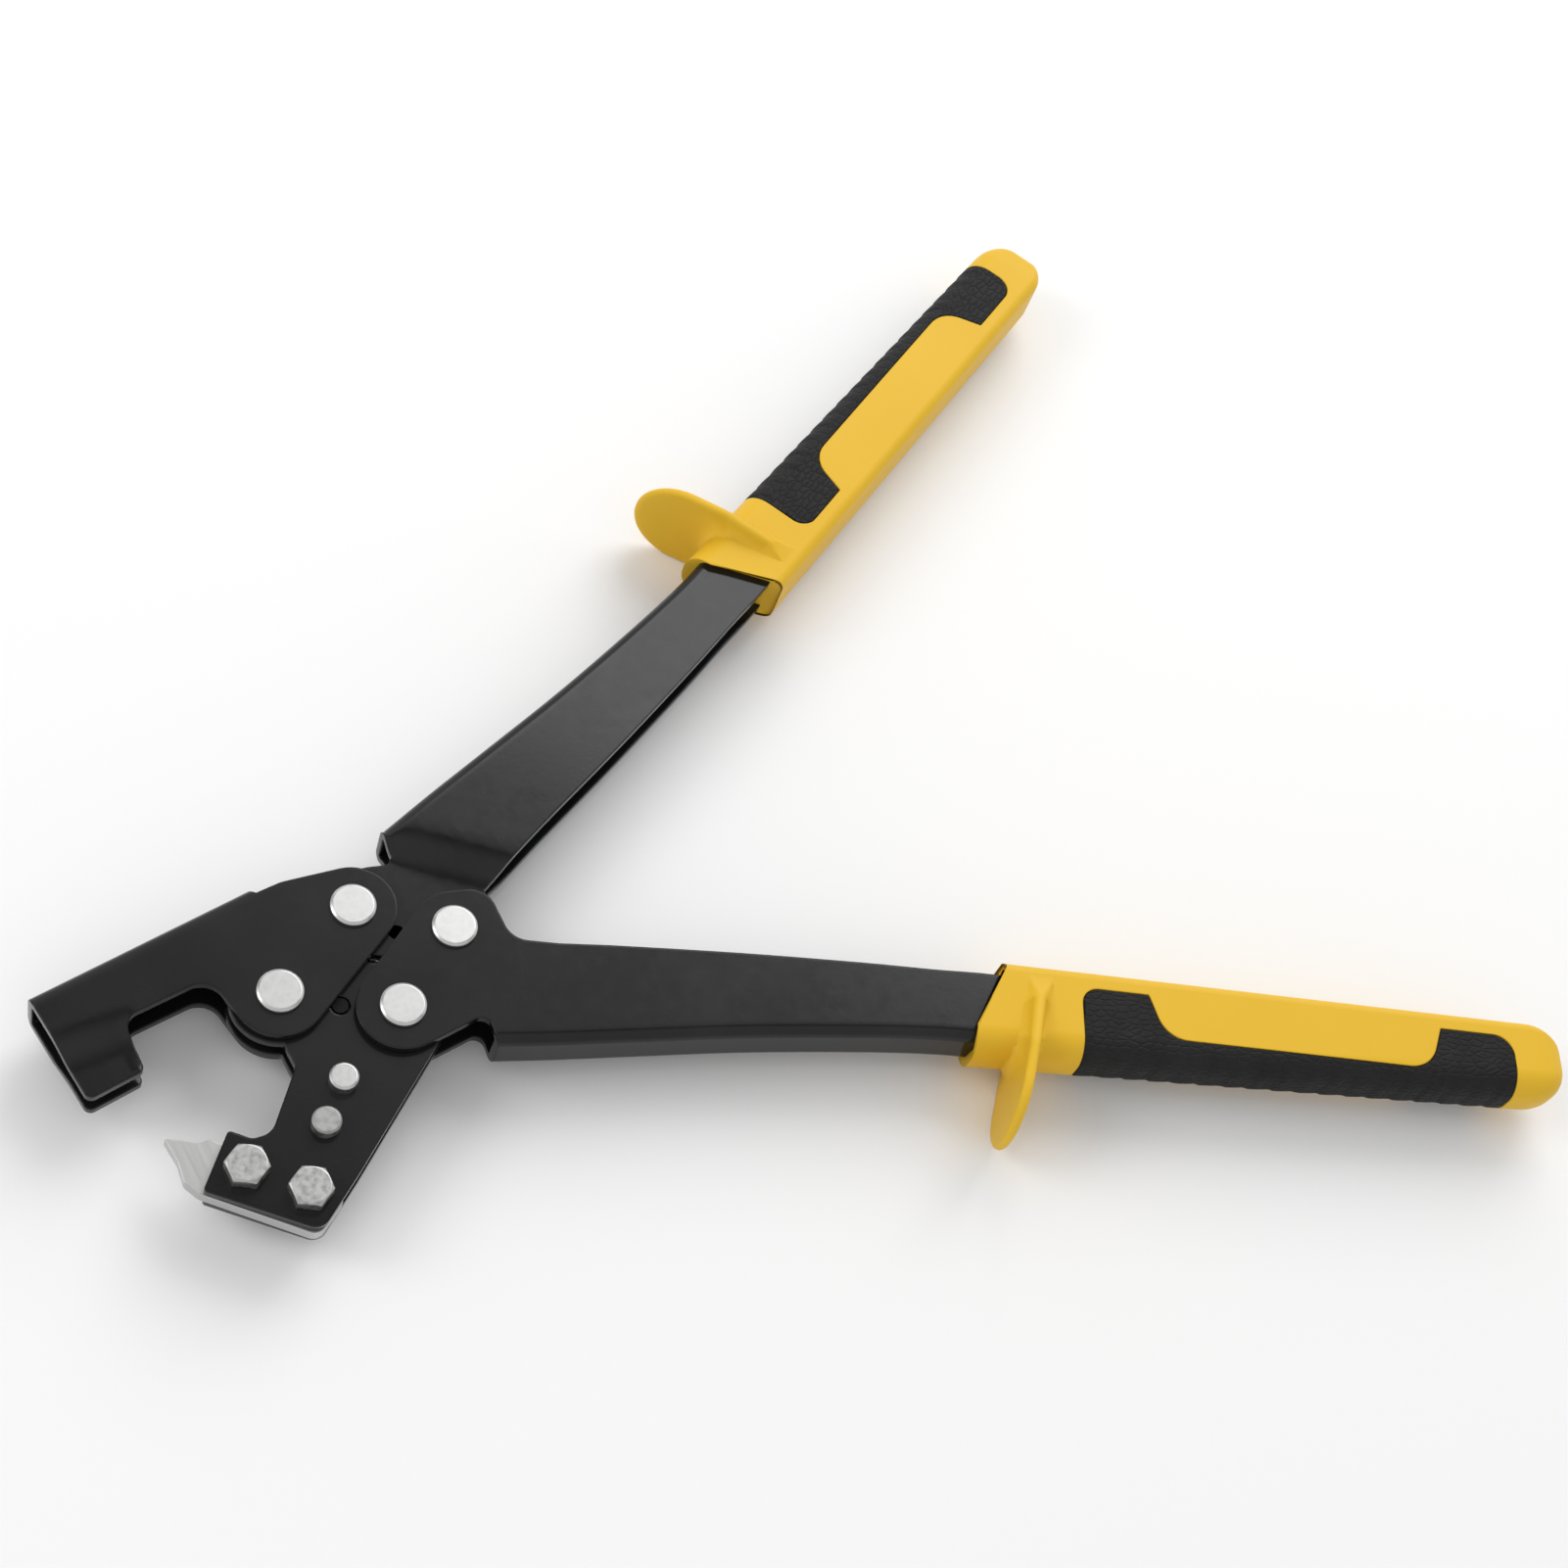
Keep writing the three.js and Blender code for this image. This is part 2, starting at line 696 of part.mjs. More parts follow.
function guardPlate() {
  const shape = outline([
    [2, -11, 0],
    [18, -14.8, 10],
    [43, -14.8, 14.4],
    [43, 14.8, 14.4],
    [18, 14.8, 10],
    [2, 11, 0],
  ]);
  const geometry = new THREE.ExtrudeGeometry(shape, {
    depth: GUARD_THICK - 1.6,
    bevelEnabled: true,
    bevelThickness: 0.8,
    bevelSize: 0.8,
    bevelOffset: -0.8,
    bevelSegments: 2,
    curveSegments: 8,
  });
  const axes = new THREE.Matrix4().makeBasis(
    new THREE.Vector3(0, 1, 0),
    new THREE.Vector3(0, 0, 1),
    new THREE.Vector3(1, 0, 0),
  );
  geometry.applyMatrix4(axes);
  geometry.translate(-GUARD_THICK / 2, -16, 0);
  geometry.rotateZ(GUARD_LEAN);
  geometry.translate(GUARD_S, 16, 0);
  return toSolid(geometry);
}

const gripDegrees = THREE.MathUtils.radToDeg(HANDLE_ANGLE);

function makeGrip() {
  const front = prism(outline([
    [GRIP_START - 20, -30, 0],
    [GRIP_START + COLLAR_SLANT, -30, 0],
    [GRIP_START + COLLAR_SLANT, -8.4, 0],
    [GRIP_START, 8.4, 0],
    [GRIP_START, 60, 0],
    [GRIP_START - 20, 60, 0],
  ]), -30, 30);
  const recess = prism(padOutline(0.2), -30, 30).subtract(gripBody(PAD_DEPTH + GAP));
  const socket = armChannel(GAP, 3).rotate([0, 0, -gripDegrees]);
  const solid = gripBody(0).add(guardPlate()).subtract(front).subtract(recess).subtract(socket);
  return solid.rotate([0, 0, gripDegrees]);
}

function makePad() {
  const skin = gripBody(0).intersect(prism(padOutline(0), -30, 30)).subtract(gripBody(PAD_DEPTH));
  return skin.rotate([0, 0, gripDegrees]);
}

// ---------------------------------------------------------------- assembly

const tool = new THREE.Group();
tool.name = 'stud_crimper';

function place(name, solid, finish) {
  const [color, metalness, roughness] = FINISH[finish];
  const material = new THREE.MeshStandardMaterial({ color, metalness, roughness });
  const mesh = new THREE.Mesh(toGeometry(solid), material);
  mesh.name = name;
  tool.add(mesh);
}

function post(centre) {
  return pin(centre, POST_RADIUS, -INNER_OUT, INNER_OUT);
}

place('fixed_jaw_shell', makeFixedJaw(), 'blackPaint');
place('rivet_fixed_upper', rivet(PIVOT.fixedUpper), 'zinc');
place('rivet_fixed_punch', rivet(PIVOT.fixedPunch), 'zinc');

place('punch_plate_top', punchPlate(INNER, INNER_OUT), 'blackPaint');
place('punch_plate_bottom', punchPlate(-INNER_OUT, -INNER), 'blackPaint');
place('punch_blade', makeBlade(), 'blade');
place('blade_bolt_tip', makeBolt(BOLTS.tip), 'zinc');
place('blade_bolt_heel', makeBolt(BOLTS.heel), 'zinc');
place('blade_nut_tip', makeNut(BOLTS.tip), 'zinc');
place('blade_nut_heel', makeNut(BOLTS.heel), 'zinc');
place('spacer_pin_inner', makeSpacerPin(SPACER_PINS.inner), 'zinc');
place('spacer_pin_outer', makeSpacerPin(SPACER_PINS.outer), 'darkZinc');
place('spacer_sleeve_inner', ring(SPACER_PINS.inner, SPACER_SHANK + RUNNING, 4.2, -CORE, CORE), 'bush');
place('spacer_sleeve_outer', ring(SPACER_PINS.outer, SPACER_SHANK + RUNNING, 4.2, -CORE, CORE), 'bush');
place('bush_fixed_punch', bush(PIVOT.fixedPunch), 'bush');
place('bush_lower_punch', bush(PIVOT.lowerPunch), 'bush');
place('spring_post_punch', post(SPRING_POST.punch), 'bush');
place('return_spring', makeSpring(), 'zinc');

place('upper_arm', makeUpperArm(), 'blackPaint');
place('upper_grip', makeGrip(), 'yellow');
place('upper_grip_pad', makePad(), 'rubber');
place('bush_fixed_upper', bush(PIVOT.fixedUpper), 'bush');
place('bush_handles', bush(PIVOT.handles), 'bush');
place('spring_post_upper', post(SPRING_POST.upper), 'bush');

place('lower_arm', makeLowerArm(), 'blackPaint');
place('lower_grip', turnedOver(makeGrip()), 'yellow');
place('lower_grip_pad', turnedOver(makePad()), 'rubber');
place('rivet_handles', rivet(PIVOT.handles), 'zinc');
place('rivet_lower_punch', rivet(PIVOT.lowerPunch), 'zinc');

// Move the origin under the middle of the bounding box.
const bounds = new THREE.Box3().setFromObject(tool);
const middle = bounds.getCenter(new THREE.Vector3());
for (const mesh of tool.children) {
  mesh.geometry.translate(-middle.x, -middle.y, -bounds.min.z);
}

export default tool;
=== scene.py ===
import math

import bmesh
import bpy
import numpy as np
from mathutils import Matrix, Vector
from mathutils.bvhtree import BVHTree


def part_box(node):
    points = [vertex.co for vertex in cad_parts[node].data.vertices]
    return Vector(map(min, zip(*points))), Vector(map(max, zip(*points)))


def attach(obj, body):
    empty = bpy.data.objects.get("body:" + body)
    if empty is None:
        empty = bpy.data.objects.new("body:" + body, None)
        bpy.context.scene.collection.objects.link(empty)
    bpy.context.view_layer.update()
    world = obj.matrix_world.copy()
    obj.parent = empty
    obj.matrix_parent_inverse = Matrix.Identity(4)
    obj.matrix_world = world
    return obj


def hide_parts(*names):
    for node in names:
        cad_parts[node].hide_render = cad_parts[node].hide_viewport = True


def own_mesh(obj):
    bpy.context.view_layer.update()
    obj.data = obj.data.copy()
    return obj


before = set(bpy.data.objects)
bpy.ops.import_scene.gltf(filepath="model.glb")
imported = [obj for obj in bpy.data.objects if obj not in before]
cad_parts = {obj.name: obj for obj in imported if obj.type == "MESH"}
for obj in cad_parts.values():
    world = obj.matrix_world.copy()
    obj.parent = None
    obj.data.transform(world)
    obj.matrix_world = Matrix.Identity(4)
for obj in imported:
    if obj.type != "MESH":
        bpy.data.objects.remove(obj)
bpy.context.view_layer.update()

# ---------------------------------------------------------------- dimensions
#
# Millimetres in the tool's layout frame: origin on the pivot that joins the handles, X towards the
# grips, Y towards the upper handle, Z out of the plates. ORIGIN is that pivot in the row frame.

MM = 0.001
PIVOT_LOW, PIVOT_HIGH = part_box("rivet_handles")
ORIGIN = np.array((PIVOT_LOW + PIVOT_HIGH) / 2) / MM

SHEET = 2.3  # thickness of every sheet part
CORE = 2.0  # half thickness of the blade
INNER = 2.3  # near face of the inner plates, from the middle plane
INNER_OUT = 4.6  # far face of the inner plates
OUTER = 4.9  # near face of the outer plates
OUTER_OUT = 7.2  # far face of the outer plates
PAST = 9.0  # half height of the slabs that trim the folded parts
FOLD = 3.0  # outer radius of a fold
FOLD_IN = 0.9  # inner radius of a fold
HOLE = 3.1  # radius of the holes and bores for rivets, bolts and pins
SEAT = 0.1  # gap under a head or nut

HANDLES = (0.0, 0.0)
FIXED_PUNCH = (-49.2, 0.0)
FIXED_UPPER = (-22.0, 15.4)
LOWER_PUNCH = (-22.0, -15.4)
SPRING_NEAR = (-35.9, -8.2)
SPRING_FAR = (-13.8, 5.4)
SPRING_HOLE = 2.6
OPEN_PIVOT_HOLE = 3.45
BOLTS = {"tip": (-75.2, -39.7), "heel": (-63.3, -51.1)}
SPACER_PINS = {"inner": (-43.9, -27.5), "outer": (-52.7, -36.6)}

HANDLE_ANGLE = math.radians(28.2)  # upper grip against X
LOWER_EXTRA = math.radians(1.0)  # how much wider the lower handle stands

# Grips, in grip coordinates: s along the grip from the handles' pivot, n across it, outwards.
GRIP_START = 143.0
GRIP_END = 321.5
GRIP_HALF = 9.0
GRIP_LOW = -8.4
GRIP_HIGH = 19.6
GRIP_TAPER = 0.031  # fall of the outer side for each millimetre of length
GRIP_OUTER_RADIUS = 7.6
GRIP_INNER_RADIUS = 3.2
COLLAR_SLANT = 9.5  # how far the collar's front slopes back on the inner side
END_ROUND = 11.0  # length over which the end draws in by the next three
LOW_ROUND = 10.0
HIGH_ROUND = 7.0
SIDE_ROUND = 4.5


# ---------------------------------------------------------------- outlines


def belt(discs, step=6.0):
    """Outline that runs like a belt round (x, y, r) discs.

    r > 0 turns left, r < 0 turns right and r 0 is a corner; step is the arcs' chord in degrees.
    """
    count = len(discs)
    points = []
    normals = []
    for i in range(count):
        ax, ay, ar = discs[i]
        bx, by, br = discs[(i + 1) % count]
        span = math.hypot(bx - ax, by - ay)
        heading = math.atan2(by - ay, bx - ax)
        normals.append(heading - math.acos((ar - br) / span))
    for i in range(count):
        x, y, r = discs[i]
        if abs(r) < 1e-6:
            points.append((x, y))
            continue
        start = normals[i - 1]
        end = normals[i]
        if r > 0:
            sweep = (end - start) % (2 * math.pi)
        else:
            sweep = -((start - end) % (2 * math.pi))
        steps = max(2, int(abs(math.degrees(sweep)) / step))
        for k in range(steps + 1):
            angle = start + sweep * k / steps
            points.append((x + r * math.cos(angle), y + r * math.sin(angle)))
    return points


def rounded(corners, segments, closed=True):
    """Points along straight sides with corners (x, y, radius), each corner an arc of equal chords."""
    points = []
    count = len(corners)
    for i, (x, y, r) in enumerate(corners):
        corner = np.array([x, y], float)
        at_end = not closed and i in (0, count - 1)
        if r == 0 or at_end:
            points.append(corner)
            continue
        before = np.array(corners[i - 1][:2], float) - corner
        after = np.array(corners[(i + 1) % count][:2], float) - corner
        before /= np.linalg.norm(before)
        after /= np.linalg.norm(after)
        half = math.acos(np.clip(before @ after, -1, 1)) / 2
        start = corner + before * r / math.tan(half)
        middle = (before + after) / np.linalg.norm(before + after)
        centre = corner + middle * r / math.sin(half)
        side = math.copysign(1, after[0] * before[1] - after[1] * before[0])
        turn = side * (math.pi - 2 * half)
        arm = start - centre
        for k in range(segments + 1):
            c, s = math.cos(turn * k / segments), math.sin(turn * k / segments)
            points.append(centre + np.array([c * arm[0] - s * arm[1], s * arm[0] + c * arm[1]]))
    return points


def smooth_path(points, per_span):
    """Catmull-Rom curve through the points."""
    p = [np.array(q, dtype=float) for q in points]
    p = [2 * p[0] - p[1], *p, 2 * p[-1] - p[-2]]
    out = []
    for i in range(1, len(p) - 2):
        for k in range(per_span):
            t = k / per_span
            a = 2 * p[i]
            b = p[i + 1] - p[i - 1]
            c = 2 * p[i - 1] - 5 * p[i] + 4 * p[i + 1] - p[i + 2]
            d = -p[i - 1] + 3 * p[i] - 3 * p[i + 1] + p[i + 2]
            out.append((a + b * t + c * t * t + d * t * t * t) / 2)
    out.append(p[-2])
    return out


def smoothstep(value):
    t = min(max(value, 0.0), 1.0)
    return t * t * (3 - 2 * t)


# ---------------------------------------------------------------- meshes


def make(name, vertices, faces):
    """Mesh object from layout-frame millimetres, with normals facing out."""
    mesh = bpy.data.meshes.new(name)
    placed = (np.array([list(v) for v in vertices]) + ORIGIN) * MM
    mesh.from_pydata([tuple(v) for v in placed], [], [list(f) for f in faces])
    obj = bpy.data.objects.new(name, mesh)
    bpy.context.scene.collection.objects.link(obj)
    clean = bmesh.new()
    clean.from_mesh(mesh)
    bmesh.ops.recalc_face_normals(clean, faces=clean.faces)
    clean.to_mesh(mesh)
    clean.free()
    return obj


def slab(name, outline, low, high):
    """The outline as a plate from z = low to z = high."""
    count = len(outline)
    vertices = [(x, y, low) for x, y in outline] + [(x, y, high) for x, y in outline]
    faces = [range(count - 1, -1, -1), range(count, 2 * count)]
    for i in range(count):
        j = (i + 1) % count
        faces.append((i, j, j + count, i + count))
    return make(name, vertices, faces)


def skin(name, rings, closed_ends=True):
    """Solid through rings of equal length."""
    size = len(rings[0])
    vertices = [v for ring in rings for v in ring]
    faces = []
    for r in range(len(rings) - 1):
        for i in range(size):
            j = (i + 1) % size
            faces.append((r * size + i, r * size + j, (r + 1) * size + j, (r + 1) * size + i))
    if closed_ends:
        faces.append(range(size - 1, -1, -1))
        faces.append(range((len(rings) - 1) * size, len(rings) * size))
    return make(name, vertices, faces)


def turned(name, centre, profile, steps=72):
    """Solid of revolution about Z from (radius, z) points; the profile starts and ends on the axis."""
    x, y = centre
    vertices = [(x, y, profile[0][1])]
    for radius, z in profile[1:-1]:
        for k in range(steps):
            angle = 2 * math.pi * k / steps
            vertices.append((x + radius * math.cos(angle), y + radius * math.sin(angle), z))
    vertices.append((x, y, profile[-1][1]))
    rows = len(profile) - 2
    faces = []
    for k in range(steps):
        j = (k + 1) % steps
        faces.append((0, 1 + j, 1 + k))
        for r in range(rows - 1):
            base = 1 + r * steps
            faces.append((base + k, base + j, base + steps + j, base + steps + k))
        last = 1 + (rows - 1) * steps
        faces.append((last + k, last + j, len(vertices) - 1))
    return make(name, vertices, faces)


def baked(obj):
    """Replaces the mesh by what its modifiers make of it."""
    graph = bpy.context.evaluated_depsgraph_get()
    result = bpy.data.meshes.new_from_object(obj.evaluated_get(graph))
    obj.modifiers.clear()
    obj.data = result
    return obj


def combined(obj, tool, operation):
    step = obj.modifiers.new("combine", "BOOLEAN")
    step.operation = operation
    step.solver = "EXACT"
    step.object = tool
    baked(obj)
    bpy.data.objects.remove(tool)
    return obj


def cut(obj, tool):
    return combined(obj, tool, "DIFFERENCE")


def common(obj, tool):
    return combined(obj, tool, "INTERSECT")


def drilled(obj, centres, radius):
    for x, y in centres:
        turns = np.linspace(0, 2 * math.pi, 48, False)
        circle = [(x + radius * math.cos(a), y + radius * math.sin(a)) for a in turns]
        obj = cut(obj, slab("hole", circle, -20, 20))
    return obj


def joined(obj, other):
    merged = bmesh.new()
    merged.from_mesh(obj.data)
    merged.from_mesh(other.data)
    bpy.data.objects.remove(other)
    merged.to_mesh(obj.data)
    merged.free()
    return obj


def moved(obj, matrix):
    """Applies a layout-frame matrix (millimetres) to the mesh."""
    shift = Matrix.Translation(Vector(ORIGIN * MM))
    scaled = matrix.copy()
    scaled.translation *= MM
    obj.data.transform(shift @ scaled @ shift.inverted())
    return obj


def edged(obj, width, segments=3, angle=40, merge=True):
    """Rounded edges of the given width in millimetres, with the flats kept flat in the shading.

    Points that the bevel throws off the old surface are put back on it.
    """
    if merge:
        weld = obj.modifiers.new("weld", "WELD")
        weld.merge_threshold = 0.15 * MM
        flat = obj.modifiers.new("flat", "DECIMATE")
        flat.decimate_type = "DISSOLVE"
        flat.angle_limit = math.radians(1.2)
        baked(obj)
    corners = [v.co for v in obj.data.vertices]
    surface = BVHTree.FromPolygons(corners, [p.vertices for p in obj.data.polygons])
    bevel = obj.modifiers.new("edges", "BEVEL")
    bevel.width = width * MM
    bevel.segments = segments
    bevel.limit_method = "ANGLE"
    bevel.angle_limit = math.radians(angle)
    bevel.use_clamp_overlap = False
    baked(obj)
    for vertex in obj.data.vertices:
        nearest, _, _, distance = surface.find_nearest(vertex.co)
        if distance > 0.5 * width * MM:
            vertex.co = nearest
    return shaded(obj)


def crisp(obj, angle=20):
    """Edges left square; stray points from the cutting are merged away."""
    weld = obj.modifiers.new("weld", "WELD")
    weld.merge_threshold = 0.02 * MM
    return shaded(baked(obj), angle)


def shaded(obj, angle=42):
    """Smooth shading, broken at edges sharper than angle and weighted towards the large faces."""
    mesh = obj.data
    mesh.polygons.foreach_set("use_smooth", [True] * len(mesh.polygons))
    mesh.set_sharp_from_angle(angle=math.radians(angle))
    flats = obj.modifiers.new("flats", "WEIGHTED_NORMAL")
    flats.keep_sharp = True
    flats.weight = 80
    return obj


# ---------------------------------------------------------------- materials


def material(name, color, metallic, roughness):
    mat = bpy.data.materials.new(name)
    mat.use_nodes = True
    nodes = mat.node_tree.nodes
    shader = nodes["Principled BSDF"]
    shader.inputs["Base Color"].default_value = (*color, 1)
    shader.inputs["Metallic"].default_value = metallic
    shader.inputs["Roughness"].default_value = roughness
    return mat, mat.node_tree, shader


def noise(tree, scale, detail=3.0, stretch=(1, 1, 1)):
    coords = tree.nodes.new("ShaderNodeTexCoord")
    mapping = tree.nodes.new("ShaderNodeMapping")
    mapping.inputs["Scale"].default_value = stretch
    pattern = tree.nodes.new("ShaderNodeTexNoise")
    pattern.inputs["Scale"].default_value = scale
    pattern.inputs["Detail"].default_value = detail
    tree.links.new(coords.outputs["Object"], mapping.inputs["Vector"])
    tree.links.new(mapping.outputs["Vector"], pattern.inputs["Vector"])
    return pattern.outputs["Fac"]


def spread(tree, source, low, high, start=0.0, end=1.0):
    """The source's start to end as low to high."""
    ramp = tree.nodes.new("ShaderNodeMapRange")
    ramp.inputs["From Min"].default_value = start
    ramp.inputs["From Max"].default_value = end
    ramp.inputs["To Min"].default_value = low
    ramp.inputs["To Max"].default_value = high
    tree.links.new(source, ramp.inputs["Value"])
    return ramp.outputs["Result"]


def tinted(tree, shader, source, dark, light, start=0.3, end=0.7):
    """Gives the surface a colour from dark to light as the source goes from start to end."""
    ramp = tree.nodes.new("ShaderNodeValToRGB")
    ramp.color_ramp.elements[0].position = start
    ramp.color_ramp.elements[0].color = (*dark, 1)
    ramp.color_ramp.elements[1].position = end
    ramp.color_ramp.elements[1].color = (*light, 1)
    tree.links.new(source, ramp.inputs["Fac"])
    tree.links.new(ramp.outputs["Color"], shader.inputs["Base Color"])


def roughened(tree, shader, source, low, high):
    tree.links.new(spread(tree, source, low, high), shader.inputs["Roughness"])


def bump(tree, shader, source, distance, strength=1.0, edge=0.0):
    """Surface relief, laid over edges rounded to a radius of `edge` metres."""
    node = tree.nodes.new("ShaderNodeBump")
    node.inputs["Strength"].default_value = strength
    node.inputs["Distance"].default_value = distance
    tree.links.new(source, node.inputs["Height"])
    tree.links.new(node.outputs["Normal"], shader.inputs["Normal"])
    if edge > 0:
        rounding = tree.nodes.new("ShaderNodeBevel")
        rounding.samples = 6
        rounding.inputs["Radius"].default_value = edge
        tree.links.new(rounding.outputs["Normal"], node.inputs["Normal"])


def black_paint():
    mat, tree, shader = material("black_paint", (0.008, 0.008, 0.009), 0.0, 0.2)
    tinted(tree, shader, noise(tree, 40, 4), (0.006, 0.006, 0.007), (0.011, 0.011, 0.012))
    roughened(tree, shader, noise(tree, 300, 4), 0.1, 0.24)
    shader.inputs["Specular IOR Level"].default_value = 0.32
    bump(tree, shader, noise(tree, 900, 2), 0.00004, 0.2, 0.0007)
    return mat


def zinc(name, color, roughness, mottle=0.05):
    """Bare or plated metal, with mottle as the share by which its colour and roughness vary."""
    mat, tree, shader = material(name, color, 1.0, roughness)
    cloud = noise(tree, 600, 5)
    darker = tuple((1 - mottle) * c for c in color)
    tinted(tree, shader, cloud, darker, color, 0.3, 0.6)
    roughened(tree, shader, cloud, roughness - 0.5 * mottle, roughness + mottle)
    bump(tree, shader, noise(tree, 1800, 2), 0.00002, mottle)
    return mat


def blade_steel():
    """Ground steel, with fine lines along Y."""
    mat, tree, shader = material("blade_steel", (0.54, 0.54, 0.535), 1.0, 0.36)
    lines = noise(tree, 900, 2, (1.0, 0.05, 1.0))
    roughened(tree, shader, lines, 0.3, 0.46)
    bump(tree, shader, lines, 0.00003, 0.4)
    return mat


def yellow_plastic():
    mat, tree, shader = material("yellow_grip", (0.82, 0.50, 0.035), 0.0, 0.4)
    tinted(tree, shader, noise(tree, 25, 2), (0.73, 0.442, 0.026), (0.76, 0.468, 0.032))
    roughened(tree, shader, noise(tree, 700, 3), 0.36, 0.48)
    shader.inputs["Specular IOR Level"].default_value = 0.14
    bump(tree, shader, noise(tree, 1500, 2), 0.00003, 0.25, 0.0006)
    return mat


PEBBLE = (3.6, 1.7)


def pad_rubber():
    """Rubber with rows of short flat pebbles; the pad's UV is in millimetres along and around it."""
    mat, tree, shader = material("black_rubber", (0.011, 0.011, 0.011), 0.0, 0.72)
    shader.inputs["Specular IOR Level"].default_value = 0.25
    coords = tree.nodes.new("ShaderNodeTexCoord")
    mapping = tree.nodes.new("ShaderNodeMapping")
    mapping.inputs["Scale"].default_value = (1 / PEBBLE[0], 1 / PEBBLE[1], 1)
    cells = tree.nodes.new("ShaderNodeTexVoronoi")
    cells.voronoi_dimensions = "2D"
    cells.feature = "DISTANCE_TO_EDGE"
    cells.inputs["Scale"].default_value = 1.0
    cells.inputs["Randomness"].default_value = 0.75
    tree.links.new(coords.outputs["UV"], mapping.inputs["Vector"])
    tree.links.new(mapping.outputs["Vector"], cells.inputs["Vector"])
    roughened(tree, shader, noise(tree, 200, 3), 0.6, 0.8)
    tinted(tree, shader, noise(tree, 60, 3), (0.009, 0.009, 0.009), (0.014, 0.014, 0.014))
    flat_tops = spread(tree, cells.outputs["Distance"], 0.0, 1.0, 0.0, 0.22)
    bump(tree, shader, flat_tops, 0.0003, 0.8)
    return mat


MATERIALS = {
    "black_paint": black_paint(),
    "zinc": zinc("zinc", (0.6, 0.6, 0.595), 0.34, 0.08),
    "bolt_zinc": zinc("bolt_zinc", (0.5, 0.5, 0.495), 0.34, 0.3),
    "dark_zinc": zinc("dark_zinc", (0.42, 0.42, 0.41), 0.45, 0.3),
    "blade_steel": blade_steel(),
    "bush_steel": zinc("bush_steel", (0.3, 0.3, 0.3), 0.4),
    "post_steel": zinc("post_steel", (0.02, 0.02, 0.02), 0.6),
    "spring_wire": zinc("spring_wire", (0.8, 0.8, 0.79), 0.3),
    "yellow_grip": yellow_plastic(),
    "black_rubber": pad_rubber(),
}


def finished(obj, finish, body, node):
    """A visual piece with its material, the body it moves with and the CAD node it stands for."""
    obj.data.materials.clear()
    obj.data.materials.append(MATERIALS[finish])
    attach(obj, body)
    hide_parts(node)
    return obj


# ---------------------------------------------------------------- folded sheet parts


FOLD_ZONE = 4.0  # depth of a channel's wall that is meshed as its fold
STEP_FROM = 2.0  # depth at which the walls start to move in
STEP_OVER = 5.0


def folded(name, stations, depth, step_in, spacing):
    """Channel of bent sheet, with walls of the given depth meshed at the given spacing.

    stations are (point on the web, direction inwards), and step_in(x, y) is how far the walls move in.
    """
    outer = [(depth, OUTER_OUT)]
    inner = [(depth, OUTER)]
    rows = int((depth - FOLD_ZONE) / spacing)
    for k in range(1, rows + 1):
        v = depth - (depth - FOLD_ZONE) * k / rows
        outer.append((v, OUTER_OUT))
        inner.append((v, OUTER))
    for k in range(9):
        angle = math.radians(90 - 90 * k / 8)
        ahead, across = math.cos(angle), math.sin(angle)
        outer.append((FOLD - FOLD * ahead, OUTER_OUT - FOLD + FOLD * across))
        inner.append((SHEET + FOLD_IN - FOLD_IN * ahead, OUTER - FOLD_IN + FOLD_IN * across))
    outer = outer + [(v, -z) for v, z in reversed(outer)]
    inner = inner + [(v, -z) for v, z in reversed(inner)]
    profile = outer + inner[::-1]
    rings = []
    for point, inward in stations:
        ring = []
        for v, z in profile:
            x, y = point + inward * v
            shift = step_in(x, y) * smoothstep((v - STEP_FROM) / STEP_OVER)
            ring.append((x, y, z - math.copysign(shift, z)))
        rings.append(ring)
    return skin(name, rings)


def in_grip(s, n):
    """Layout x, y of a point in the upper grip's coordinates."""
    c, sn = math.cos(HANDLE_ANGLE), math.sin(HANDLE_ANGLE)
    return (s * c - n * sn, s * sn + n * c)


# Upper arm in place; the lower arm is drawn over it and turned about X afterwards.
WEB = [(-5.0, 33.6), (12.0, 39.9), (30.0, 46.2), (60.0, 56.8), (90.0, 68.6), (110.0, 77.2)]
OPEN_EDGE = [(40.0, 21.2), (69.0, 34.6), (99.0, 49.2), (118.0, 58.9)]
WEB_TANG = [in_grip(150, 15.6), in_grip(178, 14.2), in_grip(206, 12.6)]
OPEN_TANG = [in_grip(150, -4.4), in_grip(178, -3.4), in_grip(200, -2.8)]

HEAD_ROWS = 12
HEAD_LENGTH = 40.0
HEAD_LIFT = 12.0


def web_stations():
    """Stations along an arm's web, led back past the head outside its outline, which cuts the web off."""
    path = smooth_path(WEB + WEB_TANG, 6)
    lead = path[1] - path[0]
    lead /= np.linalg.norm(lead)
    away = np.array([-lead[1], lead[0]])
    head = []
    for k in range(HEAD_ROWS, 0, -1):
        head.append(path[0] - lead * HEAD_LENGTH * k / HEAD_ROWS + away * HEAD_LIFT * smoothstep(k / 3))
    path = head + path
    stations = []
    for i, point in enumerate(path):
        ahead = path[min(i + 1, len(path) - 1)] - path[max(i - 1, 0)]
        ahead /= np.linalg.norm(ahead)
        inward = -away if i <= HEAD_ROWS else np.array([ahead[1], -ahead[0]])
        stations.append((point, inward))
    return stations


LIP_EDGE = -85.5  # the lips' side of the hook
LIP_SIDE_RUN = 2.5
LIP_TOP = 0.4
LIP_RUN = 10.2
LIP_STEP = 2.2


def lip_step(x, y):
    """How far the hook's lips are pressed together."""
    across = smoothstep((LIP_EDGE - x) / LIP_SIDE_RUN)
    return LIP_STEP * across * smoothstep((LIP_TOP + LIP_RUN - y) / LIP_RUN)


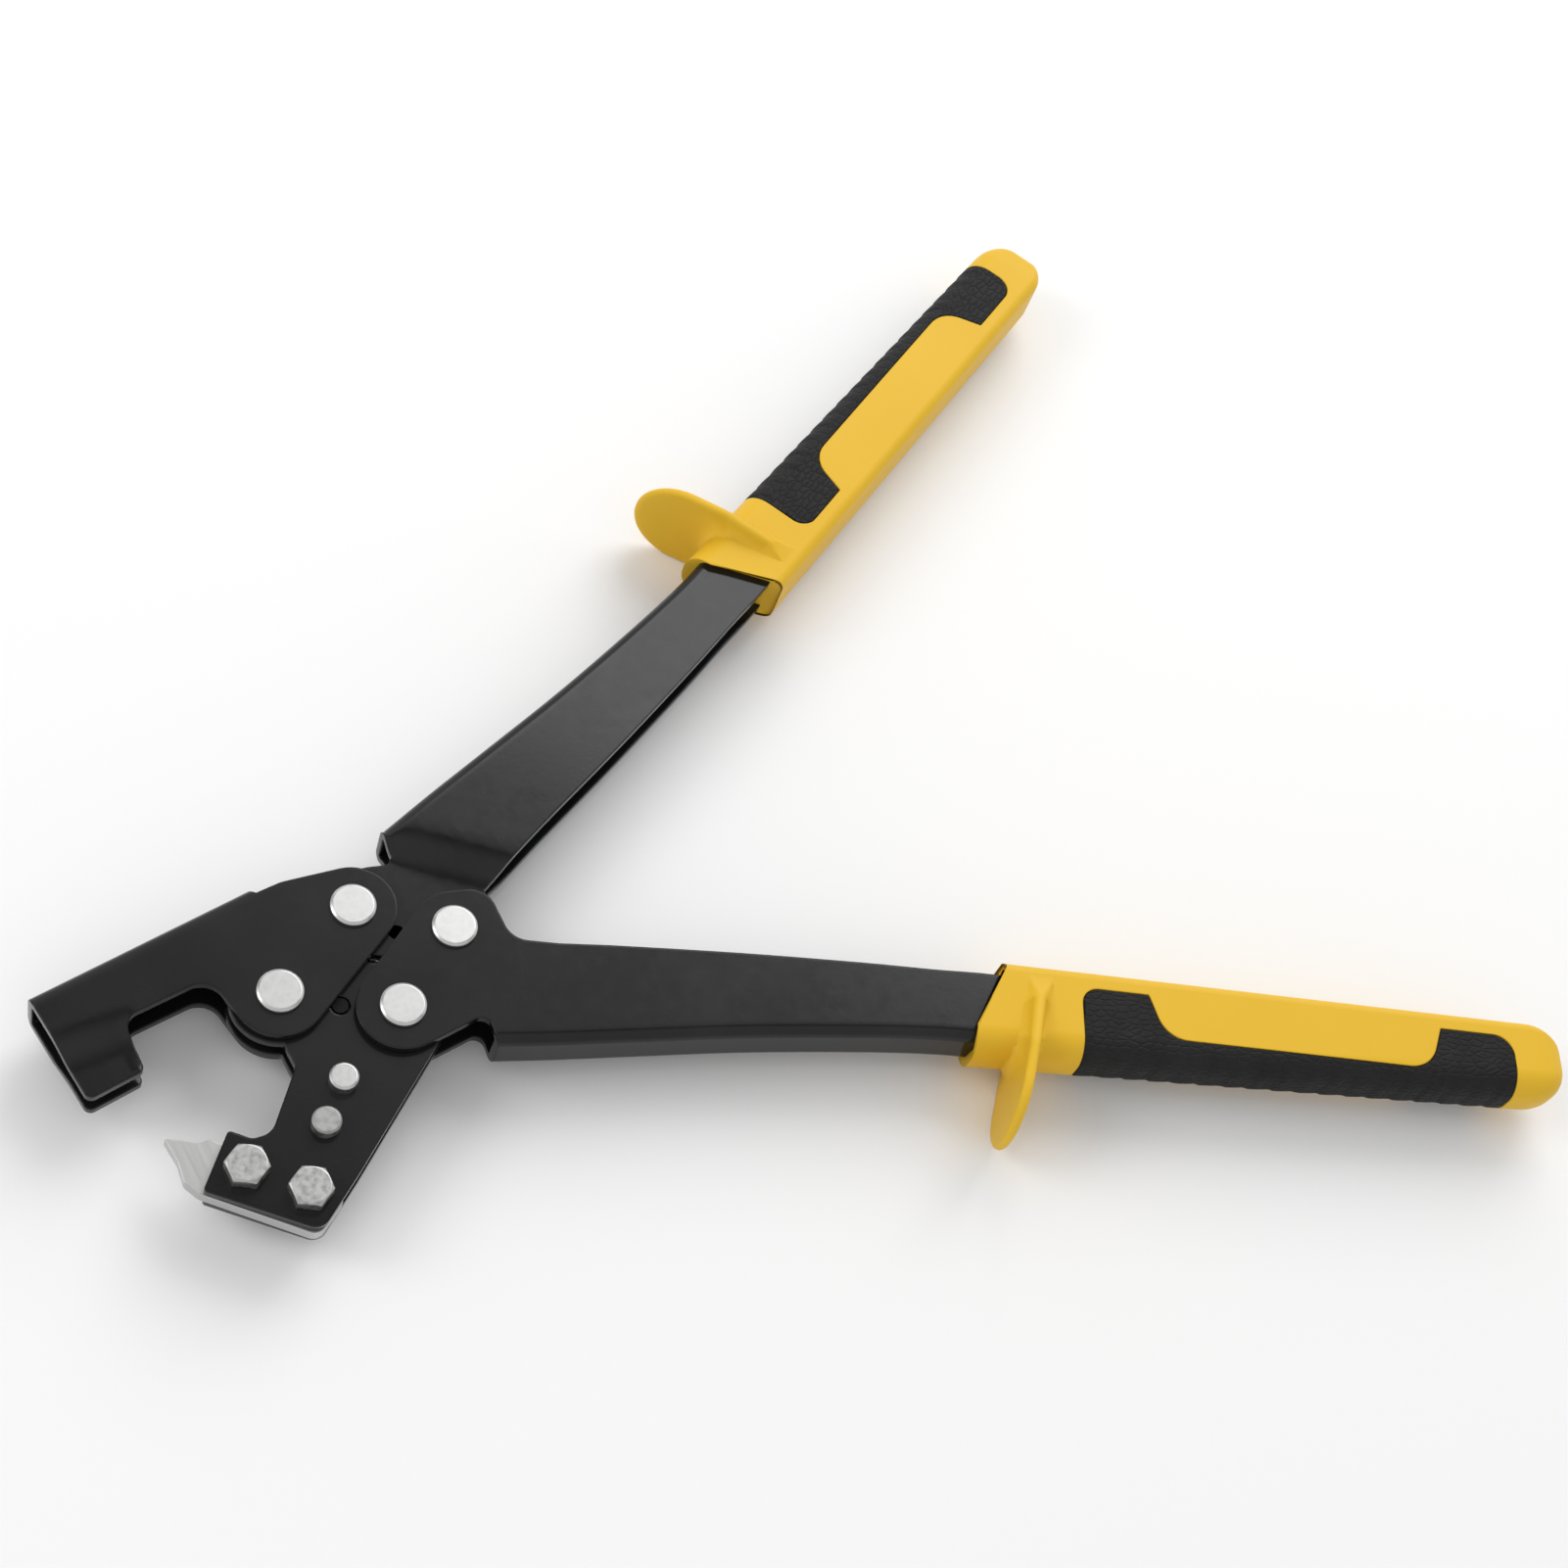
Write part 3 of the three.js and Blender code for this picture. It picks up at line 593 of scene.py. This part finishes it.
def fixed_jaw():
    front = np.array([-106.5, 22.4])
    rear = np.array([-45.2, 30.3])
    along = (rear - front) / np.linalg.norm(rear - front)
    inward = np.array([along[1], -along[0]])
    stations = [(front + along * t, inward) for t in np.arange(-8, 112, 2.0)]
    jaw = folded("fixed_jaw", stations, 62, lip_step, 1.6)
    outline = belt(
        [
            (-101.2, -5.9, 2.1),
            (-89.2, -4.7, 1.6),
            (-83.3, 4.3, -4.2),
            (-68.6, 3.9, -6.1),
            (-49.2, 0.0, 12.2),
            (-22.0, 15.4, 11.6),
            (-36.5, 20.6, 8.2),
            (-43.4, 28.35, 0),
            (-45.5, 31.2, 0),
            (-106.4, 23.4, 0),
            (-105.6, 21.0, 0.8),
        ],
        4,
    )
    jaw = common(jaw, slab("jaw_outline", outline, -PAST, PAST))
    web_end = [(-44.8, 20.0), (20.0, 20.0), (20.0, 60.0), (-44.8, 60.0)]
    jaw = cut(jaw, slab("web_end", web_end, -OUTER, OUTER))
    return crisp(drilled(jaw, [FIXED_UPPER, FIXED_PUNCH], HOLE))


STEP_FACE = np.array([0.62, 0.784])
STEP_NEAR = 14.8
STEP_RUN = 11.4


def tongue_step(x, y):
    """How far the upper arm's walls move in, from the channel to the narrow tongue."""
    reach = STEP_FACE @ np.array([x, y])
    return (OUTER - INNER) * (1 - smoothstep((reach - STEP_NEAR) / STEP_RUN))


def trimmed(arm, head_low, head_high, low_edge):
    """Cuts a folded arm to its outline and drills it. The outline stays clear of the web's outer face."""
    beyond_web = [(x - 2.5, y + 5.0, 0) for x, y in reversed(WEB[1:] + WEB_TANG)]
    edge = [(x, y, 0) for x, y in smooth_path(low_edge + OPEN_EDGE + OPEN_TANG, 4)]
    outline = belt([*head_low, *edge, *beyond_web, *head_high], 4)
    arm = common(arm, slab("arm_outline", outline, -PAST, PAST))
    return crisp(drilled(arm, [HANDLES, FIXED_UPPER], HOLE))


def upper_arm():
    arm = folded("upper_arm", web_stations(), 64, tongue_step, 1.8)
    head_low = [(-22.0, 15.4, 11.2), (0.0, 0.0, 11.0), (13.3, 8.2, 0)]
    head_high = [(-5.2, 38.0, 0), (-5.6, 30.0, 0), (-8.1, 27.0, -2.4), (-14.5, 17.5, 8.4)]
    return trimmed(arm, head_low, head_high, [(21.0, 11.9), (30.0, 16.4)])


def lower_arm():
    arm = folded("lower_arm", web_stations(), 70, lambda x, y: 0.0, 4.0)
    head_low = [(-21.73, 15.78, 12.0), (0.0, 0.0, 10.8), (5.9, -2.4, 7.0), (19.9, 4.2, -7.0)]
    head_high = [(-2.9, 38.0, 0), (-2.9, 33.0, 0), (-5.4, 28.9, -2.9), (-15.0, 17.5, 9.6)]
    return trimmed(arm, head_low, head_high, [(24.0, 14.2), (30.0, 16.8)])


def turned_over(obj):
    """From the upper handle's place to the lower one's."""
    over = Matrix.Rotation(math.pi, 4, "X")
    bend = Matrix.Rotation(-LOWER_EXTRA, 4, "Z")
    return moved(obj, bend @ over)


# ---------------------------------------------------------------- punch jaw


def punch_plate(name, low, high):
    lower_side = rounded(
        [
            (-53.4, -12.4, 0),
            (-53.2, -19.4, 3),
            (-65.8, -33.5, 5),
            (-70.7, -33.0, 3),
            (-75.2, -28.6, 1),
            (-86.9, -40.7, 1),
            (-64.7, -61.6, 4),
            (-50.0, -51.4, 0),
        ],
        6,
        closed=False,
    )
    corners = [(x, y, 0) for x, y in lower_side]
    outline = belt([(*FIXED_PUNCH, 13.0), *corners, (*LOWER_PUNCH, 12.4)], 4)
    plate = drilled(slab(name, outline, low, high), [FIXED_PUNCH, *SPACER_PINS.values()], HOLE)
    plate = drilled(plate, [LOWER_PUNCH], OPEN_PIVOT_HOLE)
    return crisp(drilled(plate, [SPRING_NEAR], SPRING_HOLE))


def punch_blade():
    outline = rounded(
        [
            (-89.7, -23.6, 0.25),
            (-89.0, -30.5, 3),
            (-89.7, -36.0, 2),
            (-87.7, -40.2, 1),
            (-65.4, -61.9, 3.2),
            (-55.9, -55.8, 1),
            (-76.6, -31.9, 2),
            (-79.4, -28.2, 1.5),
            (-82.6, -27.9, 3),
            (-85.4, -25.9, 4),
        ],
        6,
    )
    return edged(slab("punch_blade", outline, -CORE, CORE), 0.22)


HALF_FLATS = 5.0  # M6 hexagon, half of what it measures across flats
CHAMFER_RIM = 4.75  # circle that the chamfer leaves on the outer face
CHAMFER_SLOPE = 0.58
HEAD_HEIGHT = 4.0
NUT_HEIGHT = 5.0
BOLT_TAIL = 6.6  # how far the bolt reaches past the face under its nut


def bolt(name, centre):
    """Hexagon bolt with its head's corners along Y, chamfered to a circle on the top."""
    x, y = centre
    low = INNER_OUT + SEAT
    high = low + HEAD_HEIGHT
    corner = HALF_FLATS / math.cos(math.pi / 6)
    turns = [-k * math.pi / 3 for k in range(1, 7)]
    hexagon = [(x + corner * math.sin(turn), y + corner * math.cos(turn)) for turn in turns]
    wide = CHAMFER_RIM + 2.4
    drop = 2.4 * CHAMFER_SLOPE
    cone = [(0, low), (wide, low), (wide, high - drop), (CHAMFER_RIM, high), (0, high)]
    head = common(slab(name, hexagon, low, high), turned("chamfer", centre, cone, 96))
    tail = -low - BOLT_TAIL
    shank = [(0, tail), (2.6, tail), (3, tail + 0.4), (3, low + 0.5), (0, low + 0.5)]
    return joined(edged(head, 0.18, 2, 12), turned("shank", centre, shank))


def nut(name, centre):
    """Hexagon nut with its corners along Y, chamfered below; each ring is its profile at one angle."""
    x, y = centre
    high = -INNER_OUT - SEAT
    low = high - NUT_HEIGHT
    sixth = math.pi / 3
    rings = []
    for angle in np.linspace(0, 2 * math.pi, 96, False):
        side = HALF_FLATS / math.cos((angle + sixth / 2) % sixth - sixth / 2)
        chamfer = low + CHAMFER_SLOPE * (side - CHAMFER_RIM)
        profile = [(HOLE, high), (side, high), (side, chamfer), (CHAMFER_RIM, low), (HOLE, low)]
        rings.append([(x + r * math.cos(angle), y + r * math.sin(angle), z) for r, z in profile])
    return crisp(skin(name, [*rings, rings[0]], closed_ends=False), 12)


def headed_pin(name, centre, face, rise, head, shank, rim):
    """Pin with a flat head over each face; rim has the (inset, drop) points of a head's soft edge."""
    top = face + rise
    profile = [(0, top)]
    profile += [(head - inset, top - drop) for inset, drop in rim]
    profile += [(head, face), (shank, face)]
    profile += [(r, -z) for r, z in reversed(profile)]
    return shaded(turned(name, centre, profile, 96), 8)


def rivet(name, centre):
    rim = [(0.8, 0), (0.65, 0.04), (0.1, 0.42), (0, 0.6)]
    return headed_pin(name, centre, OUTER_OUT + SEAT, 1.5, 6.05, 3.0, rim)


def spacer_pin(name, centre):
    rim = [(0.7, 0), (0.5, 0.05), (0.1, 0.4), (0, 0.6)]
    return headed_pin(name, centre, INNER_OUT + SEAT, 3.4, 3.8, 2.5, rim)


WIRE = 0.35
COIL = 1.5
TURNS = 9
HOOK = 2.75
HOOK_TURN = 1.35 * math.pi
HOOK_LEAD = 2.8  # from a hook to the coil


def return_spring():
    """Coil spring with a hook round each post."""
    near, far = np.array([*SPRING_NEAR, 0.0]), np.array([*SPRING_FAR, 0.0])
    along = (far - near) / np.linalg.norm(far - near)
    side = np.array([-along[1], along[0], 0.0])
    rise = np.array([0.0, 0.0, 1.0])
    lead = HOOK + HOOK_LEAD
    run = np.linalg.norm(far - near) - 2 * lead
    path = []
    for turn in np.linspace(HOOK_TURN, 0, 22):
        path.append(near + side * HOOK * math.cos(turn) - along * HOOK * math.sin(turn))
    for t in np.linspace(0, 1, TURNS * 20 + 1):
        turn = 2 * math.pi * TURNS * t
        middle = near + along * (lead + run * t)
        path.append(middle + COIL * (side * math.cos(turn) + rise * math.sin(turn)))
    for turn in np.linspace(0, HOOK_TURN, 22):
        path.append(far + side * HOOK * math.cos(turn) + along * HOOK * math.sin(turn))
    return wire("vis_return_spring", path, WIRE, 10)


def wire(name, path, radius, sides):
    """Round wire along a path, its section carried along without twist."""
    turns = [2 * math.pi * j / sides for j in range(sides)]
    rings = []
    normal = np.array([0.0, 0.0, 1.0])
    for k, point in enumerate(path):
        tangent = path[min(k + 1, len(path) - 1)] - path[max(k - 1, 0)]
        tangent /= np.linalg.norm(tangent)
        normal = normal - tangent * (normal @ tangent)
        normal /= np.linalg.norm(normal)
        across = np.cross(tangent, normal)
        rings.append([point + radius * (normal * math.cos(a) + across * math.sin(a)) for a in turns])
    return shaded(skin(name, rings), 60)


# ---------------------------------------------------------------- grips


def grip_high(s):
    """The outer side's n at s."""
    return GRIP_HIGH - GRIP_TAPER * (s - GRIP_START)


def grip_section(s):
    """Section points (n, z) at s. Towards the end it draws in on both sides and across."""
    t = min(max((s - (GRIP_END - END_ROUND)) / END_ROUND, 0), 1)
    fade = 1 - math.sqrt(1 - t * t)
    low = GRIP_LOW + LOW_ROUND * fade
    high = grip_high(s) - HIGH_ROUND * fade
    half = GRIP_HALF - SIDE_ROUND * fade
    outer = max(GRIP_OUTER_RADIUS - SIDE_ROUND * fade, 0.8)
    inner = max(GRIP_INNER_RADIUS - SIDE_ROUND * fade, 0.8)
    corners = [(low, -half, inner), (high, -half, outer), (high, half, outer), (low, half, inner)]
    return rounded(corners, 10)


def grip_point(s, n, z):
    x, y = in_grip(s, n)
    return (x, y, z)


def front_edge(n):
    """Where the collar starts at n."""
    return GRIP_START + COLLAR_SLANT * smoothstep((n + GRIP_LOW) / (2 * GRIP_LOW))


COLLAR_END = 166.0


def grip_body(name):
    rings = []
    for s in [*np.linspace(GRIP_START, COLLAR_END, 9), *np.linspace(170, 306, 60)]:
        ring = []
        for n, z in grip_section(s):
            share = min((s - GRIP_START) / (COLLAR_END - GRIP_START), 1)
            ring.append(grip_point(front_edge(n) * (1 - share) + s * share, n, z))
        rings.append(ring)
    for t in np.sin(np.linspace(0, math.pi / 2, 14)) * 0.9995:
        s = GRIP_END - END_ROUND + END_ROUND * t
        rings.append([grip_point(s, n, z) for n, z in grip_section(s)])
    return skin(name, rings)


GUARD_S = 158.0
GUARD_LEAN = math.tan(math.radians(12))
GUARD_HALF = 1.5  # half thickness, and depth of its root in the collar
GUARD_ROOT = 5.0  # radius of the flare at its root


def guard(name):
    """Plate round the collar, with a flared root and a full round rim."""
    rim = rounded(
        [
            (-6, -8, 3),
            (2, -11.5, 6),
            (18, -14.8, 10),
            (43, -14.8, 14.4),
            (43, 14.8, 14.4),
            (18, 14.8, 10),
            (2, 11.5, 6),
            (-6, 8, 3),
        ],
        14,
    )
    centre = np.array([8.0, 0.0])
    section = grip_section(GUARD_S)
    edges = []
    for point in rim:
        direction = (point - centre) / np.linalg.norm(point - centre)
        edges.append((point, direction, distance_out(section, centre, direction)))
    levels = [0.0, 0.02, 0.05, 0.09, 0.14, 0.2, 0.28, 0.4, 0.55, 0.7, 0.82, 0.9, 0.95, 0.98, 0.995, 1.0]
    rings = []
    for side in (-1, 1):
        for level in levels if side < 0 else levels[-2::-1]:
            ring = []
            for point, direction, surface in edges:
                start = centre + direction * max(surface - GUARD_HALF, 1)
                span = np.linalg.norm(point - centre) - np.linalg.norm(start - centre)
                place = start + (point - start) * level
                above = max(span * level - GUARD_HALF, 0)
                flare = 0.0
                if above < GUARD_ROOT:
                    flare = GUARD_ROOT - math.sqrt(GUARD_ROOT**2 - (GUARD_ROOT - above) ** 2)
                inside = min(abs(span) * (1 - level), GUARD_HALF)
                half = math.sqrt(GUARD_HALF**2 - (GUARD_HALF - inside) ** 2) + 0.6 * flare
                n, z = place
                lean = GUARD_LEAN * (n - 16)
                ring.append(grip_point(GUARD_S - lean + side * half, n, z))
            rings.append(ring)
    return skin(name, rings)


def distance_out(section, centre, direction):
    """How far the section's edge is from centre along direction."""
    side = np.array([-direction[1], direction[0]])
    for a, b in zip(section, [*section[1:], section[0]]):
        pa, pb = (a - centre) @ side, (b - centre) @ side
        if pa * pb <= 0 and pa != pb:
            t = pa / (pa - pb)
            reach = (a + (b - a) * t - centre) @ direction
            if reach > 0:
                return reach
    return 0.0


PAD_START = 174.0
PAD_END = 304.5
PAD_WING = -2.5  # edge of the wide parts at both ends
PAD_STRIP = 10.3  # edge of the narrow part between them
PAD_NEAR = 193.4  # where the narrow part starts and ends
PAD_FAR = 282.4
PAD_SLANT = 4.4
PAD_FILLET = 9.0
PAD_GAP = 0.22
PAD_DEPTH = 1.5


def pad_edge(grow):
    """Lower boundary of the inlay, as (s, n) points from its front to its end."""
    corners = [
        (PAD_START - grow, 12.0, 0),
        (PAD_START - grow, PAD_WING - grow, 5),
        (PAD_NEAR + grow, PAD_WING - grow, 0.5),
        (PAD_NEAR + PAD_SLANT + grow, PAD_STRIP - grow, PAD_FILLET),
        (PAD_FAR - PAD_SLANT - grow, PAD_STRIP - grow, PAD_FILLET),
        (PAD_FAR - grow, PAD_WING - grow, 0.5),
        (PAD_END + grow, PAD_WING - grow, 6),
        (PAD_END + grow, 10.0, 0),
    ]
    points = rounded(corners, 10, closed=False)
    return [p for p in points if p[1] < 9.9 or PAD_START + 2 < p[0] < PAD_END - 2]


def pad(name, grow, lift, depth):
    """Inlay shell, from lift above the grip's surface to depth below it, its outline grown by grow.

    Its rows cross the grip from one side, over the outer face, to the other side.
    """
    edge = pad_edge(grow)
    dense = []
    for a, b in zip(edge, edge[1:]):
        steps = max(1, int(abs(b[0] - a[0]) / 1.3))
        dense += [a + (b - a) * k / steps for k in range(steps)]
    dense.append(edge[-1])
    outer = [pad_row(s, n, lift, grow == 0) for s, n in dense]
    inner = [pad_row(s, n, -depth, False) for s, n in dense]
    rows, size = len(outer), len(outer[0])
    vertices = [p for row in outer for p in row] + [p for row in inner for p in row]
    offset = rows * size
    faces = []
    for r in range(rows - 1):
        for c in range(size - 1):
            a = r * size + c
            quad = (a, a + 1, a + size + 1, a + size)
            faces.append(quad)
            faces.append(tuple(offset + v for v in reversed(quad)))
        for c in (0, size - 1):
            a = r * size + c
            faces.append((a, a + size, offset + a + size, offset + a))
    for r in (0, rows - 1):
        for c in range(size - 1):
            a = r * size + c
            faces.append((a, a + 1, offset + a + 1, offset + a))
    obj = make(name, vertices, faces)
    places = [(s, v) for (s, _), row in zip(dense, outer) for v in around(row)] * 2
    layer = obj.data.uv_layers.new(name="around")
    for loop, entry in zip(obj.data.loops, layer.data):
        entry.uv = places[loop.vertex_index]
    return obj


def around(row):
    """Distance of each point from the middle of the row, in millimetres."""
    steps = [math.dist(a, b) for a, b in zip(row, row[1:])]
    along = np.concatenate([[0], np.cumsum(steps)])
    return along - along[-1] / 2


def pad_row(s, n_edge, lift, shaped):
    """Points across the grip at s, from the edge on the top side round to the edge below."""
    high = grip_high(s)
    radius = GRIP_OUTER_RADIUS
    flat = high - radius
    half = GRIP_HALF
    lead = max(flat - n_edge, 0)
    first = math.asin(min(max(n_edge - flat, 0) / radius, 1))
    length = lead + radius * (math.pi / 2 - first)
    path = []
    for k in range(27):
        run = length * k / 26
        angle = first + max(run - lead, 0) / radius
        out, side = math.sin(angle), math.cos(angle)
        n = n_edge + run if run < lead else flat + radius * out
        path.append((n, half - radius * (1 - side), out, side))
    path += [(high, (half - radius) * (1 - k / 2), 1.0, 0.0) for k in range(1, 4)]
    path += [(n, -z, dn, -dz) for n, z, dn, dz in reversed(path[:27])]
    row = []
    for n, z, dn, dz in path:
        out = lift
        if shaped:
            out -= scallop(s, z) * smoothstep((n - n_edge - 1) / 4) * smoothstep((n - flat + 3) / 6)
        row.append(grip_point(s, n + dn * out, z + dz * out))
    return row


WAVE = 7.4
WAVE_DEPTH = 0.5


def scallop(s, z):
    """Depth of the shallow shingle-like waves on the outer face."""
    phase = (s - PAD_START - 0.12 * abs(z) ** 1.4) / WAVE
    phase -= math.floor(phase)
    return WAVE_DEPTH * phase**2 * smoothstep((1 - phase) / 0.15)


def grip(name):
    body = combined(grip_body(name), guard("guard"), "UNION")
    body = cut(body, pad("recess", PAD_GAP, 1.5, PAD_DEPTH + 0.3))
    return crisp(body, 35)


def grip_pad(name):
    return edged(pad(name, 0.0, 0.05, PAD_DEPTH), 0.3, 2, 60, merge=False)


# ---------------------------------------------------------------- assembly

finished(fixed_jaw(), "black_paint", "fixed_jaw", "fixed_jaw_shell")
for node, centre, body in (
    ("rivet_fixed_upper", FIXED_UPPER, "fixed_jaw"),
    ("rivet_fixed_punch", FIXED_PUNCH, "fixed_jaw"),
    ("rivet_handles", HANDLES, "lower_handle"),
    ("rivet_lower_punch", LOWER_PUNCH, "lower_handle"),
):
    finished(rivet("vis_" + node, centre), "zinc", body, node)

for level, low, high in (("top", INNER, INNER_OUT), ("bottom", -INNER_OUT, -INNER)):
    plate = punch_plate(f"vis_punch_plate_{level}", low, high)
    finished(plate, "black_paint", "punch_jaw", f"punch_plate_{level}")
finished(punch_blade(), "blade_steel", "punch_jaw", "punch_blade")
for end, centre in BOLTS.items():
    finished(bolt(f"vis_bolt_{end}", centre), "bolt_zinc", "punch_jaw", f"blade_bolt_{end}")
    finished(nut(f"vis_nut_{end}", centre), "bolt_zinc", "punch_jaw", f"blade_nut_{end}")
for end, finish in (("inner", "zinc"), ("outer", "dark_zinc")):
    pin = spacer_pin(f"vis_pin_{end}", SPACER_PINS[end])
    finished(pin, finish, "punch_jaw", f"spacer_pin_{end}")

spring = finished(return_spring(), "spring_wire", "punch_jaw", "return_spring")
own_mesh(spring)

finished(upper_arm(), "black_paint", "upper_handle", "upper_arm")
finished(turned_over(lower_arm()), "black_paint", "lower_handle", "lower_arm")
for side, place in (("upper", lambda obj: obj), ("lower", turned_over)):
    finished(place(grip(f"vis_{side}_grip")), "yellow_grip", f"{side}_handle", f"{side}_grip")
    finished(place(grip_pad(f"vis_{side}_pad")), "black_rubber", f"{side}_handle", f"{side}_grip_pad")

# CAD pieces inside the tool, kept as they are, with a finish.
INSIDE = {
    "bush_fixed_punch": "bush_steel",
    "bush_fixed_upper": "bush_steel",
    "bush_handles": "bush_steel",
    "bush_lower_punch": "bush_steel",
    "spacer_sleeve_inner": "bush_steel",
    "spacer_sleeve_outer": "bush_steel",
    "spring_post_punch": "post_steel",
    "spring_post_upper": "post_steel",
}
for node, finish in INSIDE.items():
    inner_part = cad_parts[node]
    inner_part.data.materials.clear()
    inner_part.data.materials.append(MATERIALS[finish])

# ---------------------------------------------------------------- stage, light and camera

FLOOR_HALF = 3000.0
FLOOR_LEVEL = -14.85
sides = [(-1, -1), (1, -1), (1, 1), (-1, 1)]
floor = make("floor", [(x * FLOOR_HALF, y * FLOOR_HALF, FLOOR_LEVEL) for x, y in sides], [(0, 1, 2, 3)])
floor.data.materials.append(material("paper", (0.9, 0.9, 0.9), 0.0, 0.8)[0])

# Compass direction in which the camera looks, as a unit vector.
AIM = (0.7867, 0.6172)

# Studio walls, as (lean, brightness): lean is how far a direction points along AIM, from 0 to 1.
WALLS = ((0.0, 0.75), (0.15, 0.45), (0.325, 0.06), (0.37, 0.75), (0.45, 0.9), (0.6, 1.0), (1.0, 0.7))
world = bpy.data.worlds.new("studio")
world.use_nodes = True
sky = world.node_tree
sky_coords = sky.nodes.new("ShaderNodeTexCoord")
lean = sky.nodes.new("ShaderNodeVectorMath")
lean.operation = "DOT_PRODUCT"
lean.inputs[1].default_value = (*AIM, 0)
sky.links.new(sky_coords.outputs["Generated"], lean.inputs[0])
walls = sky.nodes.new("ShaderNodeValToRGB")
stops = walls.color_ramp.elements
while len(stops) < len(WALLS):
    stops.new(0.5)
for stop, (position, level) in zip(stops, WALLS):
    stop.position = position
    stop.color = (level, level, level, 1)
sky.links.new(lean.outputs["Value"], walls.inputs["Fac"])
sky.links.new(walls.outputs["Color"], sky.nodes["Background"].inputs["Color"])
sky.nodes["Background"].inputs["Strength"].default_value = 1.0
bpy.context.scene.world = world


def area_light(name, position, size, power):
    """Square lamp that faces the tool."""
    light = bpy.data.lights.new(name, "AREA")
    light.shape = "SQUARE"
    light.size = size
    light.energy = power
    obj = bpy.data.objects.new(name, light)
    bpy.context.scene.collection.objects.link(obj)
    obj.location = position
    obj.rotation_euler = (-Vector(position)).to_track_quat("-Z", "Y").to_euler()


area_light("key", (1.06, 0.83, 1.12), 1.2, 14)
area_light("fill", (-1.1, 0.6, 1.0), 0.6, 5)

ELEVATION = math.radians(56.38)  # how steeply the camera looks down
ROLL = math.radians(26.55)
CAMERA_AT = (-0.3003, -0.24065, 0.6286)
LENS = 59.57

level_right = Vector((AIM[1], -AIM[0], 0))
rise, reach = math.sin(ELEVATION), math.cos(ELEVATION)
level_up = Vector((AIM[0] * rise, AIM[1] * rise, reach))
forward = Vector((AIM[0] * reach, AIM[1] * reach, -rise))
right = level_right * math.cos(ROLL) + level_up * math.sin(ROLL)
up = level_up * math.cos(ROLL) - level_right * math.sin(ROLL)
camera_data = bpy.data.cameras.new("camera")
camera_data.lens = LENS
camera_data.sensor_width = 36
camera_data.clip_start = 0.01
camera_data.clip_end = 20
camera = bpy.data.objects.new("camera", camera_data)
bpy.context.scene.collection.objects.link(camera)
turn = Matrix((right, up, -forward)).transposed()
camera.matrix_world = Matrix.Translation(CAMERA_AT) @ turn.to_4x4()
bpy.context.scene.camera = camera
bpy.context.scene.view_settings.view_transform = "Standard"
